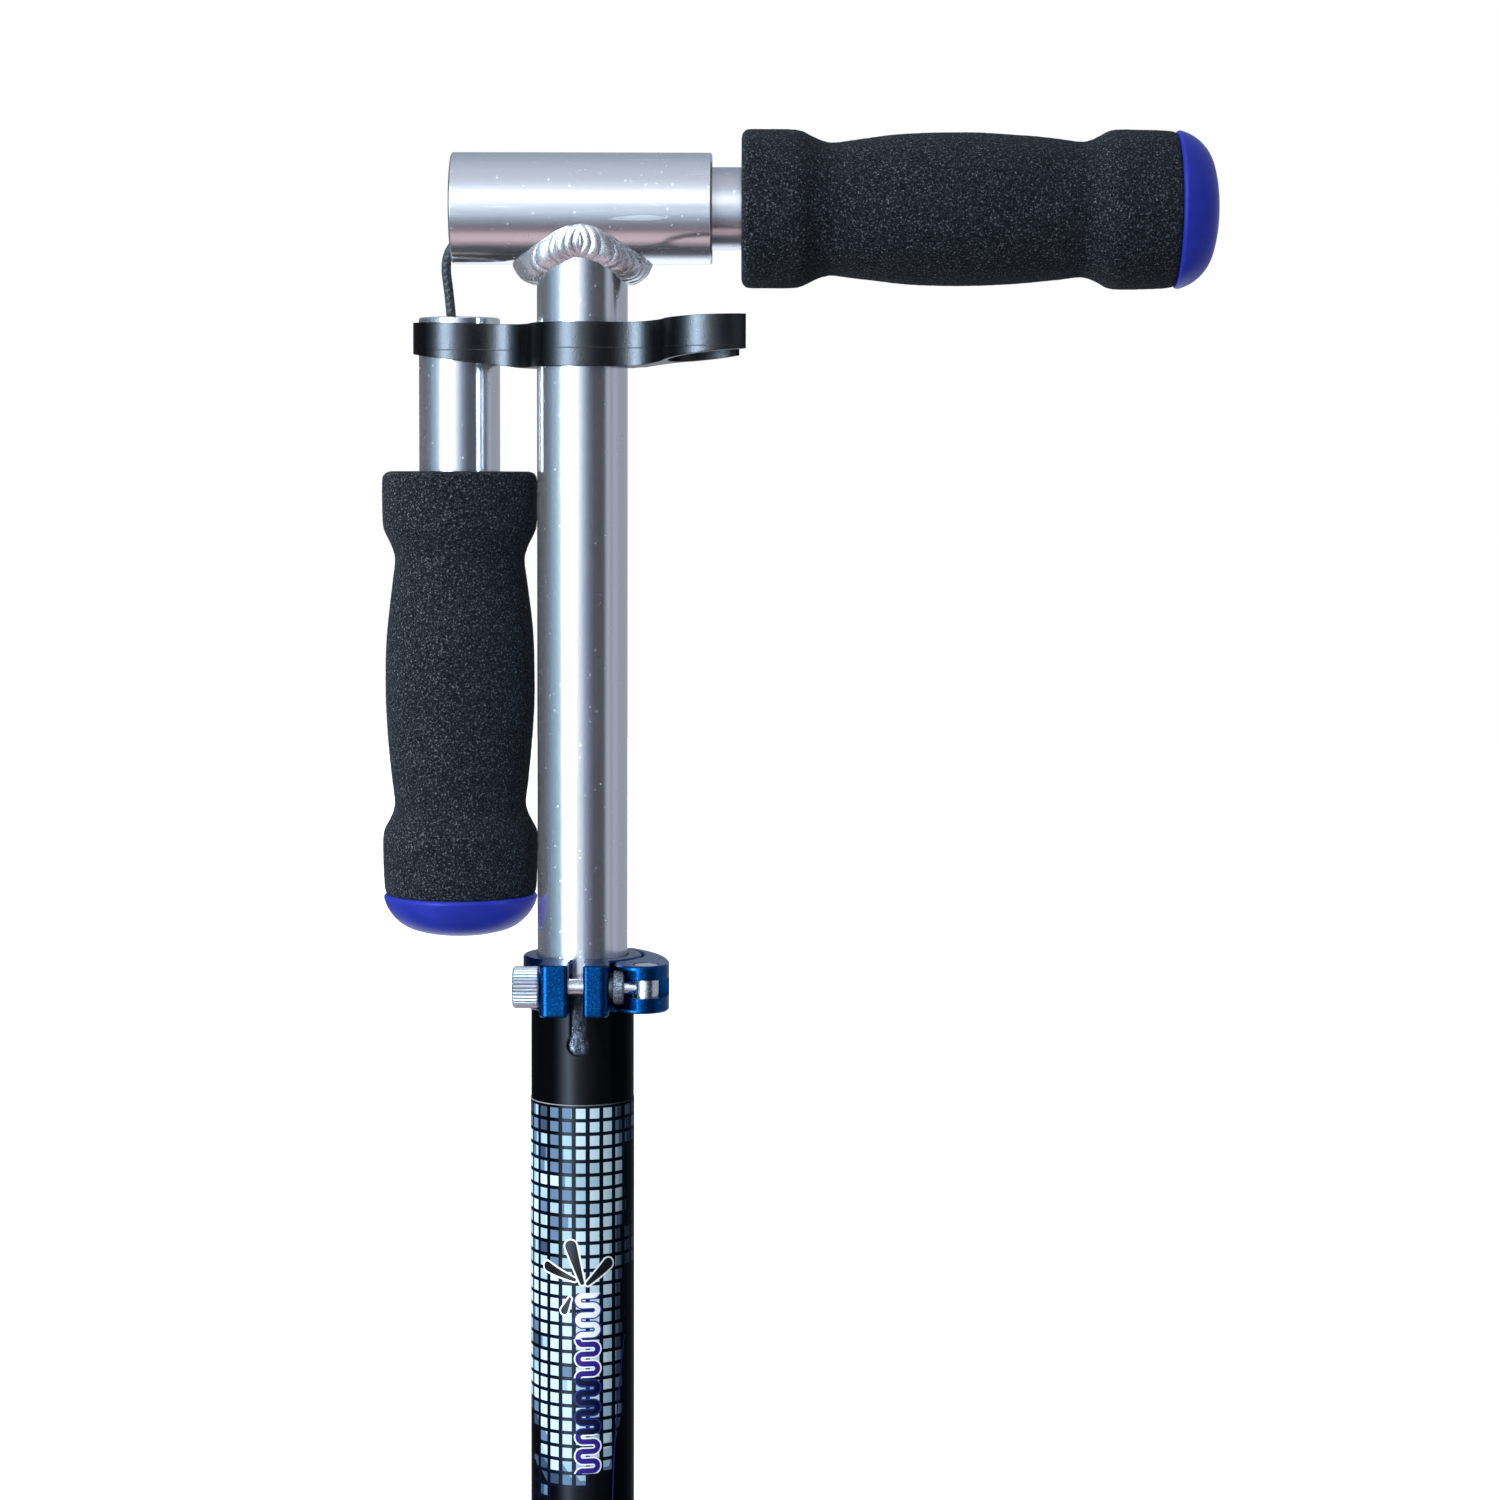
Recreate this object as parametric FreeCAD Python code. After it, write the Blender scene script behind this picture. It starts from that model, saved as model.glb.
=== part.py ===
import FreeCAD, Part
import math
import os

# Steering column of a folding kick scooter, in millimetres.
# Z runs up the column, and the origin is the lower end of the outer tube on its axis.
# X is the direction of the crossbar and -Y is the side with the clamp's ears.

# Outer tube, with a slit for the fork's clamp below and one for the height clamp above
OUTER_R = 16.0
OUTER_BORE_R = 14.5
OUTER_TOP = 378.4
SOCKET_R = 14.32
SOCKET_DEPTH = 60.0
TOP_SLIT_X = -0.8
TOP_SLIT_WIDTH = 4.8
KEYHOLE_R = 3.3
KEYHOLE_Z = 353.8
LOWER_SLIT_WIDTH = 3.0
LOWER_SLIT_TOP = 50.0
LOWER_SLIT_END_R = 2.6
WRAP_THICKNESS = 0.15
WRAP_BOTTOM = 112.0
WRAP_TOP = 335.3
WRAP_SEAM = 1.6

# Inner stem, welded to the crossbar sleeve
STEM_R = 14.0
STEM_BORE_R = 12.2
STEM_BOTTOM = 250.0
FOOT_FLANGE_R = 14.42
FOOT_FLANGE = 4.0
FOOT_SPIGOT = 14.0
SHIM_BOTTOM = 340.0
SHIM_TOP = 374.0
SHIM_BORE_R = 14.06
SHIM_R = 14.47
SHIM_SLIT = 5.0

# Crossbar sleeve
SLEEVE_Z = 610.8
SLEEVE_R = 17.1
SLEEVE_BORE_R = 14.6
SLEEVE_HALF = 40.0
SLEEVE_CHAMFER = 0.5
BUSH_BORE_R = 12.78
BUSH_R = 14.56
BUSH_INNER = 2.5
BUSH_OUTER = 39.2
BEAD_STEM_R = 18.4
BEAD_SLEEVE_R = 20.6
BEAD_TOP_DROP = 5.3

# Height clamp
CLAMP_BOTTOM = 364.0
CLAMP_TOP = 380.0
CLAMP_R = 18.4
CLAMP_LIP_R = 14.35
EAR_FRONT = -27.0
EAR_GAP_LEFT = -3.3
EAR_GAP_RIGHT = 1.4
EAR_LEFT = -12.1
EAR_RIGHT = 9.2
EAR_OUTER_ROUND = 2.6
EAR_INNER_ROUND = 1.2
EAR_EDGE = 0.5
BOLT_R = 2.5
BOLT_HOLE_R = 2.75
BOLT_Y = -21.0
BOLT_Z = 372.6
NUT_R = 6.4
NUT_LENGTH = 8.0
NUT_GAP = 0.1
NUT_BEVEL = 0.6
NUT_RIDGES = 34
NUT_RIDGE_DEPTH = 0.45
NUT_BORE_R = 2.55

# Quick-release lever, which turns on a barrel that the bolt is screwed into
PIVOT_X = 20.4
BARREL_R = 3.9
BARREL_FIT = 0.06
LEVER_BOTTOM = 365.2
LEVER_TOP = 379.7
LEVER_EDGE = 0.5
HEAD_X = 19.0
HEAD_Y = -18.6
HEAD_R = 8.3
CAM_R = 6.3
CAM_BOTTOM = 366.3
CAM_TOP = 378.4
CAM_GAP_START = 142.0
CAM_GAP_END = 318.0
ARM_BORE_R = 19.0
SLOT_BOTTOM = 369.9
SLOT_TOP = 375.4
SLOT_BACK = -14.5
THRUST_WASHER = 1.3
THRUST_WASHER_R = 4.4
CAM_WASHER = 3.3
CAM_WASHER_R = 5.2

# Handle grips: distances are measured from a handle tube's inner end
TUBE_R = 12.7
TUBE_BORE_R = 11.2
TUBE_LENGTH = 181.4
TUBE_INSERTED = 39.0
BUTTON_AT = 15.7
BUTTON_R = 3.1
BUTTON_HOLE_R = 3.25
BUTTON_REACH = 18.1
BAND_R = 10.9
BAND_BORE_R = 10.3
BAND_WIDTH = 7.0
BAND_OPENING = 70.0
PIP_R = 1.2
PIP_HOLE_R = 1.4
PIP_REACH = 12.6
PIP_ANGLE = -72.0
FOAM_START = 48.0
FOAM_LENGTH = 133.4
CAP_PLUG_R = 11.1
CAP_PLUG = 14.0
GUIDE_AT = 152.0
GUIDE_THICKNESS = 4.0
GUIDE_R = 11.1
FERRULE_R = 3.6
FERRULE_LENGTH = 8.0

# Stowing clip: it snaps on the stem, and each side lobe holds a handle tube
CLIP_TURN = -26.0
CLIP_REACH = 44.0
CLIP_BOTTOM = 562.0
CLIP_TOP = 575.5
CLIP_RING_R = 16.4
CLIP_RING_BORE_R = 14.07
CLIP_RING_OPENING = 92.0
CLIP_LOBE_R = 14.5
CLIP_LOBE_BORE_R = 12.78
CLIP_LOBE_MOUTH = (-15.0, 78.0)
CLIP_FILLET_R = 12.0
CLIP_TAPER_START = 20.0
CLIP_TAPER_END = 60.0
CLIP_TAPER_RISE = 5.2
CLIP_TOP_RISE_RIGHT = 1.9
CLIP_TOP_RISE_LEFT = 1.0
LEFT_TUBE_TOP = 578.0
LEFT_BUTTON_ANGLE = 123.0

# Height button in the stem
HEIGHT_BUTTON_Z = 290.0
STEM_TRAVEL = 170.0
BUTTON_STOPS = (HEIGHT_BUTTON_Z, HEIGHT_BUTTON_Z - STEM_TRAVEL)
HEIGHT_BUTTON_R = 3.4
HEIGHT_BUTTON_HOLE_R = 3.6
HEIGHT_BUTTON_REACH = 17.3
HEIGHT_BAND_R = 11.9
HEIGHT_BAND_BORE_R = 11.2

# Shock cord that ties the two grips together
CORD_R = 1.5
CORD_MOUTH_RADIUS = 8.5
CORD_END = 157.0

# Clamp for the fork's steerer tube
FORK_CLAMP_BOTTOM = 3.0
FORK_CLAMP_TOP = 41.0
FORK_CLAMP_R = 21.0
FORK_EAR_BACK = 33.0
FORK_EAR_HALF = 9.5
FORK_EAR_GAP = 1.7
FORK_EAR_ROUND = 4.0
FORK_BOLT_Y = 26.8
FORK_BOLT_Z = (12.5, 31.5)
FORK_BOLT_R = 3.0
FORK_BOLT_HOLE_R = 3.2
FORK_HEAD_R = 5.0
FORK_HEAD = 6.0
FORK_SOCKET_AF = 5.0
FORK_SOCKET = 3.2
FORK_NUT_AF = 10.0
FORK_NUT = 5.0

PAST = 60.0  # how far a cutting tool runs past what it cuts
X_AXIS = FreeCAD.Vector(1, 0, 0)
Y_AXIS = FreeCAD.Vector(0, 1, 0)
Z_AXIS = FreeCAD.Vector(0, 0, 1)
ORIGIN = FreeCAD.Vector(0, 0, 0)


def vec(x, y, z=0.0):
    return FreeCAD.Vector(x, y, z)


def turned(direction_deg, length=1.0):
    """A vector in the XY plane, at an angle from +X."""
    a = math.radians(direction_deg)
    return vec(length * math.cos(a), length * math.sin(a))


def post(radius, bottom, top, x=0.0, y=0.0):
    """An upright cylinder between two heights."""
    return Part.makeCylinder(radius, top - bottom, vec(x, y, bottom))


def bar(radius, start, end, y=0.0, z=0.0):
    """A cylinder along X between two places."""
    return Part.makeCylinder(radius, end - start, vec(start, y, z), X_AXIS)


def block(x, y, z):
    """A box from three (low, high) pairs."""
    return Part.makeBox(x[1] - x[0], y[1] - y[0], z[1] - z[0], vec(x[0], y[0], z[0]))


def line(a, b):
    return Part.LineSegment(a, b).toShape()


def arc(a, middle, b):
    return Part.Arc(a, middle, b).toShape()


def chain(points):
    """Straight edges from point to point, open at the end."""
    return [line(a, b) for a, b in zip(points, points[1:])]


def face_of(edges):
    return Part.Face(Part.Wire(edges))


def spun(edges):
    """A closed outline of (distance along X, radius) turned about X."""
    return face_of(edges).revolve(ORIGIN, X_AXIS, 360)


def upright(edges, bottom, top):
    """A closed outline in the XY plane made into a prism between two heights."""
    prism = face_of(edges).extrude(vec(0, 0, top - bottom))
    prism.translate(vec(0, 0, bottom))
    return prism


def wedge(x, y, from_deg, to_deg, reach, bottom, top):
    """A prism that covers the angles between two directions around an upright axis."""
    centre = vec(x, y)
    first = centre + turned(from_deg, reach)
    last = centre + turned(to_deg, reach)
    half_way = centre + turned((from_deg + to_deg) / 2, reach)
    return upright([line(centre, first), arc(first, half_way, last), line(last, centre)], bottom, top)


def rounded_rectangle(x, y, rounds):
    """Edges of a rectangle, with a radius for each corner, counted from low x and low y, turning left."""
    corners = [vec(x[0], y[0]), vec(x[1], y[0]), vec(x[1], y[1]), vec(x[0], y[1])]
    edges = []
    starts = []
    ends = []
    for i, corner in enumerate(corners):
        before = (corners[i - 1] - corner).normalize()
        after = (corners[(i + 1) % 4] - corner).normalize()
        starts.append(corner + before * rounds[i])
        ends.append(corner + after * rounds[i])
    for i, corner in enumerate(corners):
        if rounds[i] > 0:
            inward = (starts[i] - corner) + (ends[i] - corner)
            middle = corner + inward * (1 - 1 / math.sqrt(2))
            edges.append(arc(starts[i], middle, ends[i]))
        edges.append(line(ends[i], starts[(i + 1) % 4]))
    return edges


def softened(shape, size, wanted):
    """The shape with a bevel on the edges that wanted() picks, or as it is if there are none."""
    edges = [e for e in shape.Edges if wanted(e)]
    return shape.makeChamfer(size, edges) if edges else shape


def at_height(*heights):
    """Picks the edges that lie flat at any of the heights."""

    def wanted(edge):
        box = edge.BoundBox
        return any(abs(box.ZMin - h) < 1e-4 and abs(box.ZMax - h) < 1e-4 for h in heights)

    return wanted


# ---------------------------------------------------------------- outer tube


def outer_tube():
    # the fork's steerer tube seats in a slightly narrower stretch at the lower end
    tube = post(OUTER_R, 0, OUTER_TOP).cut(post(OUTER_BORE_R, SOCKET_DEPTH, OUTER_TOP + 1))
    tube = tube.cut(post(SOCKET_R, -1, SOCKET_DEPTH + 1))
    half = TOP_SLIT_WIDTH / 2
    slit = block((TOP_SLIT_X - half, TOP_SLIT_X + half), (-PAST, 0), (KEYHOLE_Z, OUTER_TOP + 1))
    keyhole = Part.makeCylinder(KEYHOLE_R, PAST, vec(TOP_SLIT_X, -PAST, KEYHOLE_Z), Y_AXIS)
    half = LOWER_SLIT_WIDTH / 2
    lower_slit = block((-half, half), (0, PAST), (-1, LOWER_SLIT_TOP))
    lower_end = Part.makeCylinder(LOWER_SLIT_END_R, PAST, vec(0, 0, LOWER_SLIT_TOP), Y_AXIS)
    # the button snaps out at each end of the stem's travel
    button_holes = [Part.makeCylinder(HEIGHT_BUTTON_HOLE_R, PAST, vec(0, 0, z), Y_AXIS) for z in BUTTON_STOPS]
    for tool in (slit, keyhole, lower_slit, lower_end, *button_holes):
        tube = tube.cut(tool)
    return tube


def decal_wrap():
    skin = post(OUTER_R + WRAP_THICKNESS, WRAP_BOTTOM, WRAP_TOP)
    skin = skin.cut(post(OUTER_R, WRAP_BOTTOM - 1, WRAP_TOP + 1))
    half = WRAP_SEAM / 2
    skin = skin.cut(block((-half, half), (0, PAST), (WRAP_BOTTOM - 1, WRAP_TOP + 1)))
    for z in BUTTON_STOPS:
        skin = skin.cut(Part.makeCylinder(HEIGHT_BUTTON_HOLE_R + 1.4, PAST, vec(0, 0, z), Y_AXIS))
    return skin


def top_shim():
    shim = post(SHIM_R, SHIM_BOTTOM, SHIM_TOP).cut(post(SHIM_BORE_R, SHIM_BOTTOM - 1, SHIM_TOP + 1))
    half = SHIM_SLIT / 2
    return shim.cut(block((-half, half), (0, PAST), (SHIM_BOTTOM - 1, SHIM_TOP + 1)))


# -------------------------------------------------------------- height clamp


def clamp_collar():
    ring = post(CLAMP_R, CLAMP_BOTTOM, CLAMP_TOP)
    rounds = (EAR_OUTER_ROUND, EAR_INNER_ROUND, 0, 0)
    left = upright(
        rounded_rectangle((EAR_LEFT, EAR_GAP_LEFT), (EAR_FRONT, -CLAMP_R / 2), rounds),
        CLAMP_BOTTOM,
        CLAMP_TOP,
    )
    rounds = (EAR_INNER_ROUND, EAR_OUTER_ROUND, 0, 0)
    right = upright(
        rounded_rectangle((EAR_GAP_RIGHT, EAR_RIGHT), (EAR_FRONT, -CLAMP_R / 2), rounds),
        CLAMP_BOTTOM,
        CLAMP_TOP,
    )
    collar = ring.fuse([left, right]).removeSplitter()
    collar = softened(collar, EAR_EDGE, at_height(CLAMP_BOTTOM, CLAMP_TOP))
    gap = block((EAR_GAP_LEFT, EAR_GAP_RIGHT), (-PAST, 0), (CLAMP_BOTTOM - 1, CLAMP_TOP + 1))
    for tool in (
        post(OUTER_R, CLAMP_BOTTOM - 1, OUTER_TOP),
        post(CLAMP_LIP_R, CLAMP_BOTTOM - 1, CLAMP_TOP + 1),
        gap,
        bar(BOLT_HOLE_R, EAR_LEFT - 1, EAR_RIGHT + 1, BOLT_Y, BOLT_Z),
    ):
        collar = collar.cut(tool)
    return collar


def clamp_bolt():
    start = EAR_LEFT - NUT_GAP - NUT_LENGTH + 0.6
    return bar(BOLT_R, start, PIVOT_X - BARREL_R + 2.0, BOLT_Y, BOLT_Z)


def lever_barrel():
    barrel = post(BARREL_R, LEVER_BOTTOM + 0.1, LEVER_TOP - 0.1, PIVOT_X, BOLT_Y)
    barrel = softened(barrel, 0.4, at_height(LEVER_BOTTOM + 0.1, LEVER_TOP - 0.1))
    return barrel.cut(bar(BOLT_R, 0, PIVOT_X - BARREL_R + 2.0, BOLT_Y, BOLT_Z))


def thrust_washer():
    washer = bar(THRUST_WASHER_R, EAR_RIGHT, EAR_RIGHT + THRUST_WASHER, BOLT_Y, BOLT_Z)
    return washer.cut(bar(BOLT_HOLE_R, 0, PAST, BOLT_Y, BOLT_Z))


def cam_washer():
    start = EAR_RIGHT + THRUST_WASHER
    washer = bar(CAM_WASHER_R, start, start + CAM_WASHER, BOLT_Y, BOLT_Z)
    bevels = [e for e in washer.Edges if e.BoundBox.XLength < 1e-4]
    washer = washer.makeChamfer(0.4, bevels)
    return washer.cut(bar(BOLT_HOLE_R, 0, PAST, BOLT_Y, BOLT_Z))


def knurled_nut():
    end = EAR_LEFT - NUT_GAP
    start = end - NUT_LENGTH
    outline = []
    for i in range(2 * NUT_RIDGES):
        radius = NUT_R if i % 2 == 0 else NUT_R - NUT_RIDGE_DEPTH
        a = math.pi * i / NUT_RIDGES
        outline.append(vec(start, BOLT_Y + radius * math.cos(a), BOLT_Z + radius * math.sin(a)))
    ridged = face_of(chain(outline + outline[:1])).extrude(vec(NUT_LENGTH, 0, 0))
    bevelled = spun(
        chain(
            [
                vec(start, NUT_BORE_R),
                vec(start, NUT_R - NUT_BEVEL),
                vec(start + NUT_BEVEL, NUT_R),
                vec(end - NUT_BEVEL, NUT_R),
                vec(end, NUT_R - NUT_BEVEL),
                vec(end, NUT_BORE_R),
                vec(start, NUT_BORE_R),
            ]
        )
    )
    bevelled.translate(vec(0, BOLT_Y, BOLT_Z))
    return ridged.common(bevelled)


def clamp_lever():
    head = upright(
        [Part.Circle(vec(HEAD_X, HEAD_Y), Z_AXIS, HEAD_R).toShape()], LEVER_BOTTOM, LEVER_TOP
    )
    outer_start = vec(HEAD_X + HEAD_R, HEAD_Y)
    tip_outer = vec(15.4, 16.2)
    tip = vec(13.0, 15.6)
    tip_inner = turned(49.0, ARM_BORE_R)
    inner_end = turned(-42.0, ARM_BORE_R)
    arm = upright(
        [
            arc(outer_start, vec(24.4, 1.0), tip_outer),
            arc(tip_outer, tip, tip_inner),
            arc(tip_inner, turned(3.0, ARM_BORE_R), inner_end),
            line(inner_end, vec(HEAD_X, HEAD_Y)),
            line(vec(HEAD_X, HEAD_Y), outer_start),
        ],
        LEVER_BOTTOM,
        LEVER_TOP,
    )
    lever = head.fuse(arm).removeSplitter()
    lever = lever.cut(post(ARM_BORE_R, LEVER_BOTTOM - 1, LEVER_TOP + 1))
    lever = softened(lever, LEVER_EDGE, at_height(LEVER_BOTTOM, LEVER_TOP))
    # the faces that push the washer are round about the barrel, so they clear it as the lever turns
    beside_cam = wedge(PIVOT_X, BOLT_Y, CAM_GAP_START, CAM_GAP_END, PAST, CAM_BOTTOM, CAM_TOP)
    beside_cam = beside_cam.cut(post(CAM_R, CAM_BOTTOM - 1, CAM_TOP + 1, PIVOT_X, BOLT_Y))
    slot = block((0, PAST), (-PAST, SLOT_BACK), (SLOT_BOTTOM, SLOT_TOP))
    pivot = post(BARREL_R + BARREL_FIT, LEVER_BOTTOM - 1, LEVER_TOP + 1, PIVOT_X, BOLT_Y)
    for tool in (beside_cam, slot, pivot):
        lever = lever.cut(tool)
    return lever


# --------------------------------------------------------------------- T-bar


def stem_tube():
    stem = post(STEM_R, STEM_BOTTOM, SLEEVE_Z).cut(post(STEM_BORE_R, STEM_BOTTOM - 1, SLEEVE_Z + 1))
    stem = stem.cut(bar(SLEEVE_R, -PAST, PAST, 0, SLEEVE_Z))
    hole = Part.makeCylinder(HEIGHT_BUTTON_HOLE_R, PAST, vec(0, 0, HEIGHT_BUTTON_Z), Y_AXIS)
    return stem.cut(hole)


def stem_foot():
    foot = post(FOOT_FLANGE_R, STEM_BOTTOM - FOOT_FLANGE, STEM_BOTTOM)
    foot = softened(foot, 0.6, at_height(STEM_BOTTOM - FOOT_FLANGE))
    foot = foot.fuse(post(STEM_BORE_R - 0.05, STEM_BOTTOM, STEM_BOTTOM + FOOT_SPIGOT))
    hollow = post(STEM_BORE_R - 2.5, STEM_BOTTOM - FOOT_FLANGE - 1, STEM_BOTTOM + FOOT_SPIGOT + 1)
    return foot.cut(hollow).removeSplitter()


def crossbar_sleeve():
    sleeve = spun(
        chain(
            [
                vec(-SLEEVE_HALF, SLEEVE_BORE_R),
                vec(-SLEEVE_HALF, SLEEVE_R - SLEEVE_CHAMFER),
                vec(-SLEEVE_HALF + SLEEVE_CHAMFER, SLEEVE_R),
                vec(SLEEVE_HALF - SLEEVE_CHAMFER, SLEEVE_R),
                vec(SLEEVE_HALF, SLEEVE_R - SLEEVE_CHAMFER),
                vec(SLEEVE_HALF, SLEEVE_BORE_R),
                vec(-SLEEVE_HALF, SLEEVE_BORE_R),
            ]
        )
    )
    sleeve.translate(vec(0, 0, SLEEVE_Z))
    for x in (-button_place(), button_place()):
        sleeve = sleeve.cut(Part.makeCylinder(BUTTON_HOLE_R + 0.3, PAST, vec(x, 0, SLEEVE_Z), Y_AXIS))
    return sleeve


def button_place():
    """How far a plugged-in grip's button is from the middle of the sleeve."""
    return SLEEVE_HALF - TUBE_INSERTED + BUTTON_AT


def sleeve_bush(side):
    ends = sorted((side * BUSH_INNER, side * BUSH_OUTER))
    bush = bar(BUSH_R, ends[0], ends[1], 0, SLEEVE_Z)
    bush = bush.cut(bar(BUSH_BORE_R, ends[0] - 1, ends[1] + 1, 0, SLEEVE_Z))
    place = vec(side * button_place(), 0, SLEEVE_Z)
    return bush.cut(Part.makeCylinder(BUTTON_HOLE_R + 0.3, PAST, place, Y_AXIS))


def weld_bead():
    bead = post(BEAD_STEM_R, SLEEVE_Z - PAST / 2, SLEEVE_Z - BEAD_TOP_DROP)
    bead = bead.common(bar(BEAD_SLEEVE_R, -PAST, PAST, 0, SLEEVE_Z))
    bead = bead.cut(bar(SLEEVE_R, -PAST, PAST, 0, SLEEVE_Z))
    return bead.cut(post(STEM_R, SLEEVE_Z - PAST, SLEEVE_Z))


def band_spring(radius, bore, width, pip_reach):
    """An open ring of spring steel about X at the origin, pushing a button that faces +Y."""
    band = bar(radius, -width / 2, width / 2).cut(bar(bore, -width, width))
    away = wedge(0, 0, 180 - BAND_OPENING / 2, 180 + BAND_OPENING / 2, PAST, -width, width)
    away.rotate(ORIGIN, Y_AXIS, 90)
    away.rotate(ORIGIN, X_AXIS, -90)
    band = band.cut(away)
    if pip_reach:
        pip = Part.makeCylinder(PIP_R, pip_reach - bore - 0.2, vec(0, bore + 0.2, 0), Y_AXIS)
        pip.rotate(ORIGIN, X_AXIS, PIP_ANGLE)
        band = band.fuse(pip).removeSplitter()
    return band


def snap_button(radius, seat_r, reach):
    """A domed button along +Y, with a small flat on top, that sits on a band spring about X."""
    dome = 0.35 * radius
    shoulder = reach - dome
    flat = 0.3 * radius
    half = [
        line(vec(0, 0), vec(radius, 0)),
        line(vec(radius, 0), vec(radius, shoulder)),
        arc(vec(radius, shoulder), vec(0.75 * radius, reach - 0.35 * dome), vec(flat, reach)),
        line(vec(flat, reach), vec(0, reach)),
        line(vec(0, reach), vec(0, 0)),
    ]
    button = face_of(half).revolve(ORIGIN, Y_AXIS, 360)
    return button.cut(bar(seat_r + 0.02, -PAST, PAST))


def in_stem(shape):
    """Puts a shape made about X, facing +Y, at the height button's place about Z."""
    shape.rotate(ORIGIN, Y_AXIS, 90)
    shape.translate(vec(0, 0, HEIGHT_BUTTON_Z))
    return shape


# -------------------------------------------------------------- handle grips


def handle_tube():
    tube = bar(TUBE_R, 0, TUBE_LENGTH)
    ends = [e for e in tube.Edges if e.BoundBox.XLength < 1e-4]
    tube = tube.makeChamfer(0.4, ends).cut(bar(TUBE_BORE_R, -1, TUBE_LENGTH + 1))
    tube = tube.cut(Part.makeCylinder(BUTTON_HOLE_R, PAST, vec(BUTTON_AT, 0, 0), Y_AXIS))
    pip_hole = Part.makeCylinder(PIP_HOLE_R, PAST, vec(BUTTON_AT, 0, 0), Y_AXIS)
    pip_hole.rotate(ORIGIN, X_AXIS, PIP_ANGLE)
    return tube.cut(pip_hole)


def foam_grip():
    """A foam sleeve with a flange at each end and a swelling between two waists."""

    def at(distance, radius):
        return vec(FOAM_START + distance, radius)

    edges = [
        line(at(0, TUBE_R), at(0, 22.2)),
        arc(at(0, 22.2), at(0.7, 23.7), at(2.4, 24.3)),
        line(at(2.4, 24.3), at(16.5, 24.3)),
        arc(at(16.5, 24.3), at(19.4, 23.6), at(21.8, 22.0)),
        arc(at(21.8, 22.0), at(28.5, 20.4), at(36.0, 21.5)),
        arc(at(36.0, 21.5), at(66.2, 23.5), at(96.8, 21.7)),
        arc(at(96.8, 21.7), at(103.8, 20.7), at(109.8, 22.2)),
        arc(at(109.8, 22.2), at(112.2, 24.0), at(115.2, 24.5)),
        line(at(115.2, 24.5), at(127.2, 24.2)),
        line(at(127.2, 24.2), at(FOAM_LENGTH, 23.2)),
        line(at(FOAM_LENGTH, 23.2), at(FOAM_LENGTH, TUBE_R)),
        line(at(FOAM_LENGTH, TUBE_R), at(0, TUBE_R)),
    ]
    return spun(edges)


def end_cap():
    """A domed cap with a plug that presses into the handle tube."""
    start = FOAM_START + FOAM_LENGTH

    def at(distance, radius):
        return vec(start + distance, radius)

    edges = [
        line(at(-CAP_PLUG, 0), at(-CAP_PLUG, CAP_PLUG_R - 1)),
        line(at(-CAP_PLUG, CAP_PLUG_R - 1), at(-CAP_PLUG + 2, CAP_PLUG_R)),
        line(at(-CAP_PLUG + 2, CAP_PLUG_R), at(0, CAP_PLUG_R)),
        line(at(0, CAP_PLUG_R), at(0, 23.4)),
        arc(at(0, 23.4), at(0.4, 24.0), at(1.2, 24.2)),
        arc(at(1.2, 24.2), at(7.6, 20.6), at(11.0, 15.4)),
        arc(at(11.0, 15.4), at(12.6, 8.6), at(13.0, 2.0)),
        line(at(13.0, 2.0), at(13.0, 0)),
        line(at(13.0, 0), at(-CAP_PLUG, 0)),
    ]
    return spun(edges)


def cord_guide():
    disc = bar(GUIDE_R, GUIDE_AT, GUIDE_AT + GUIDE_THICKNESS)
    return disc.cut(bar(CORD_R + 0.5, 0, TUBE_LENGTH))


def cord_ferrule():
    start = GUIDE_AT + GUIDE_THICKNESS
    ferrule = bar(FERRULE_R, start, start + FERRULE_LENGTH)
    ends = [e for e in ferrule.Edges if e.BoundBox.XLength < 1e-4]
    return ferrule.makeChamfer(0.6, ends).cut(bar(CORD_R + 0.05, start - 1, CORD_END + 0.1))


def right_placement():
    return FreeCAD.Placement(vec(SLEEVE_HALF - TUBE_INSERTED, 0, SLEEVE_Z), FreeCAD.Rotation())


def left_axis():
    """Where the stowed left grip's axis stands."""
    return turned(180 + CLIP_TURN, CLIP_REACH)


def left_placement():
    """Turns a grip's outer end down and its button out of the clip's mouth."""
    outward = turned(LEFT_BUTTON_ANGLE)
    rotation = FreeCAD.Rotation(vec(0, 0, -1), outward, vec(0, 0, -1).cross(outward), "XYZ")
    place = left_axis() + vec(0, 0, LEFT_TUBE_TOP)
    return FreeCAD.Placement(place, rotation)


def grip_parts():
    spring = band_spring(BAND_R, BAND_BORE_R, BAND_WIDTH, PIP_REACH)
    spring.translate(vec(BUTTON_AT, 0, 0))
    button = snap_button(BUTTON_R, BAND_R, BUTTON_REACH)
    button.translate(vec(BUTTON_AT, 0, 0))
    return {
        "handle_tube": handle_tube(),
        "foam_grip": foam_grip(),
        "end_cap": end_cap(),
        "snap_spring": spring,
        "snap_button": button,
        "cord_guide": cord_guide(),
        "cord_ferrule": cord_ferrule(),
    }


# -------------------------------------------------------------- stowing clip


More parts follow.
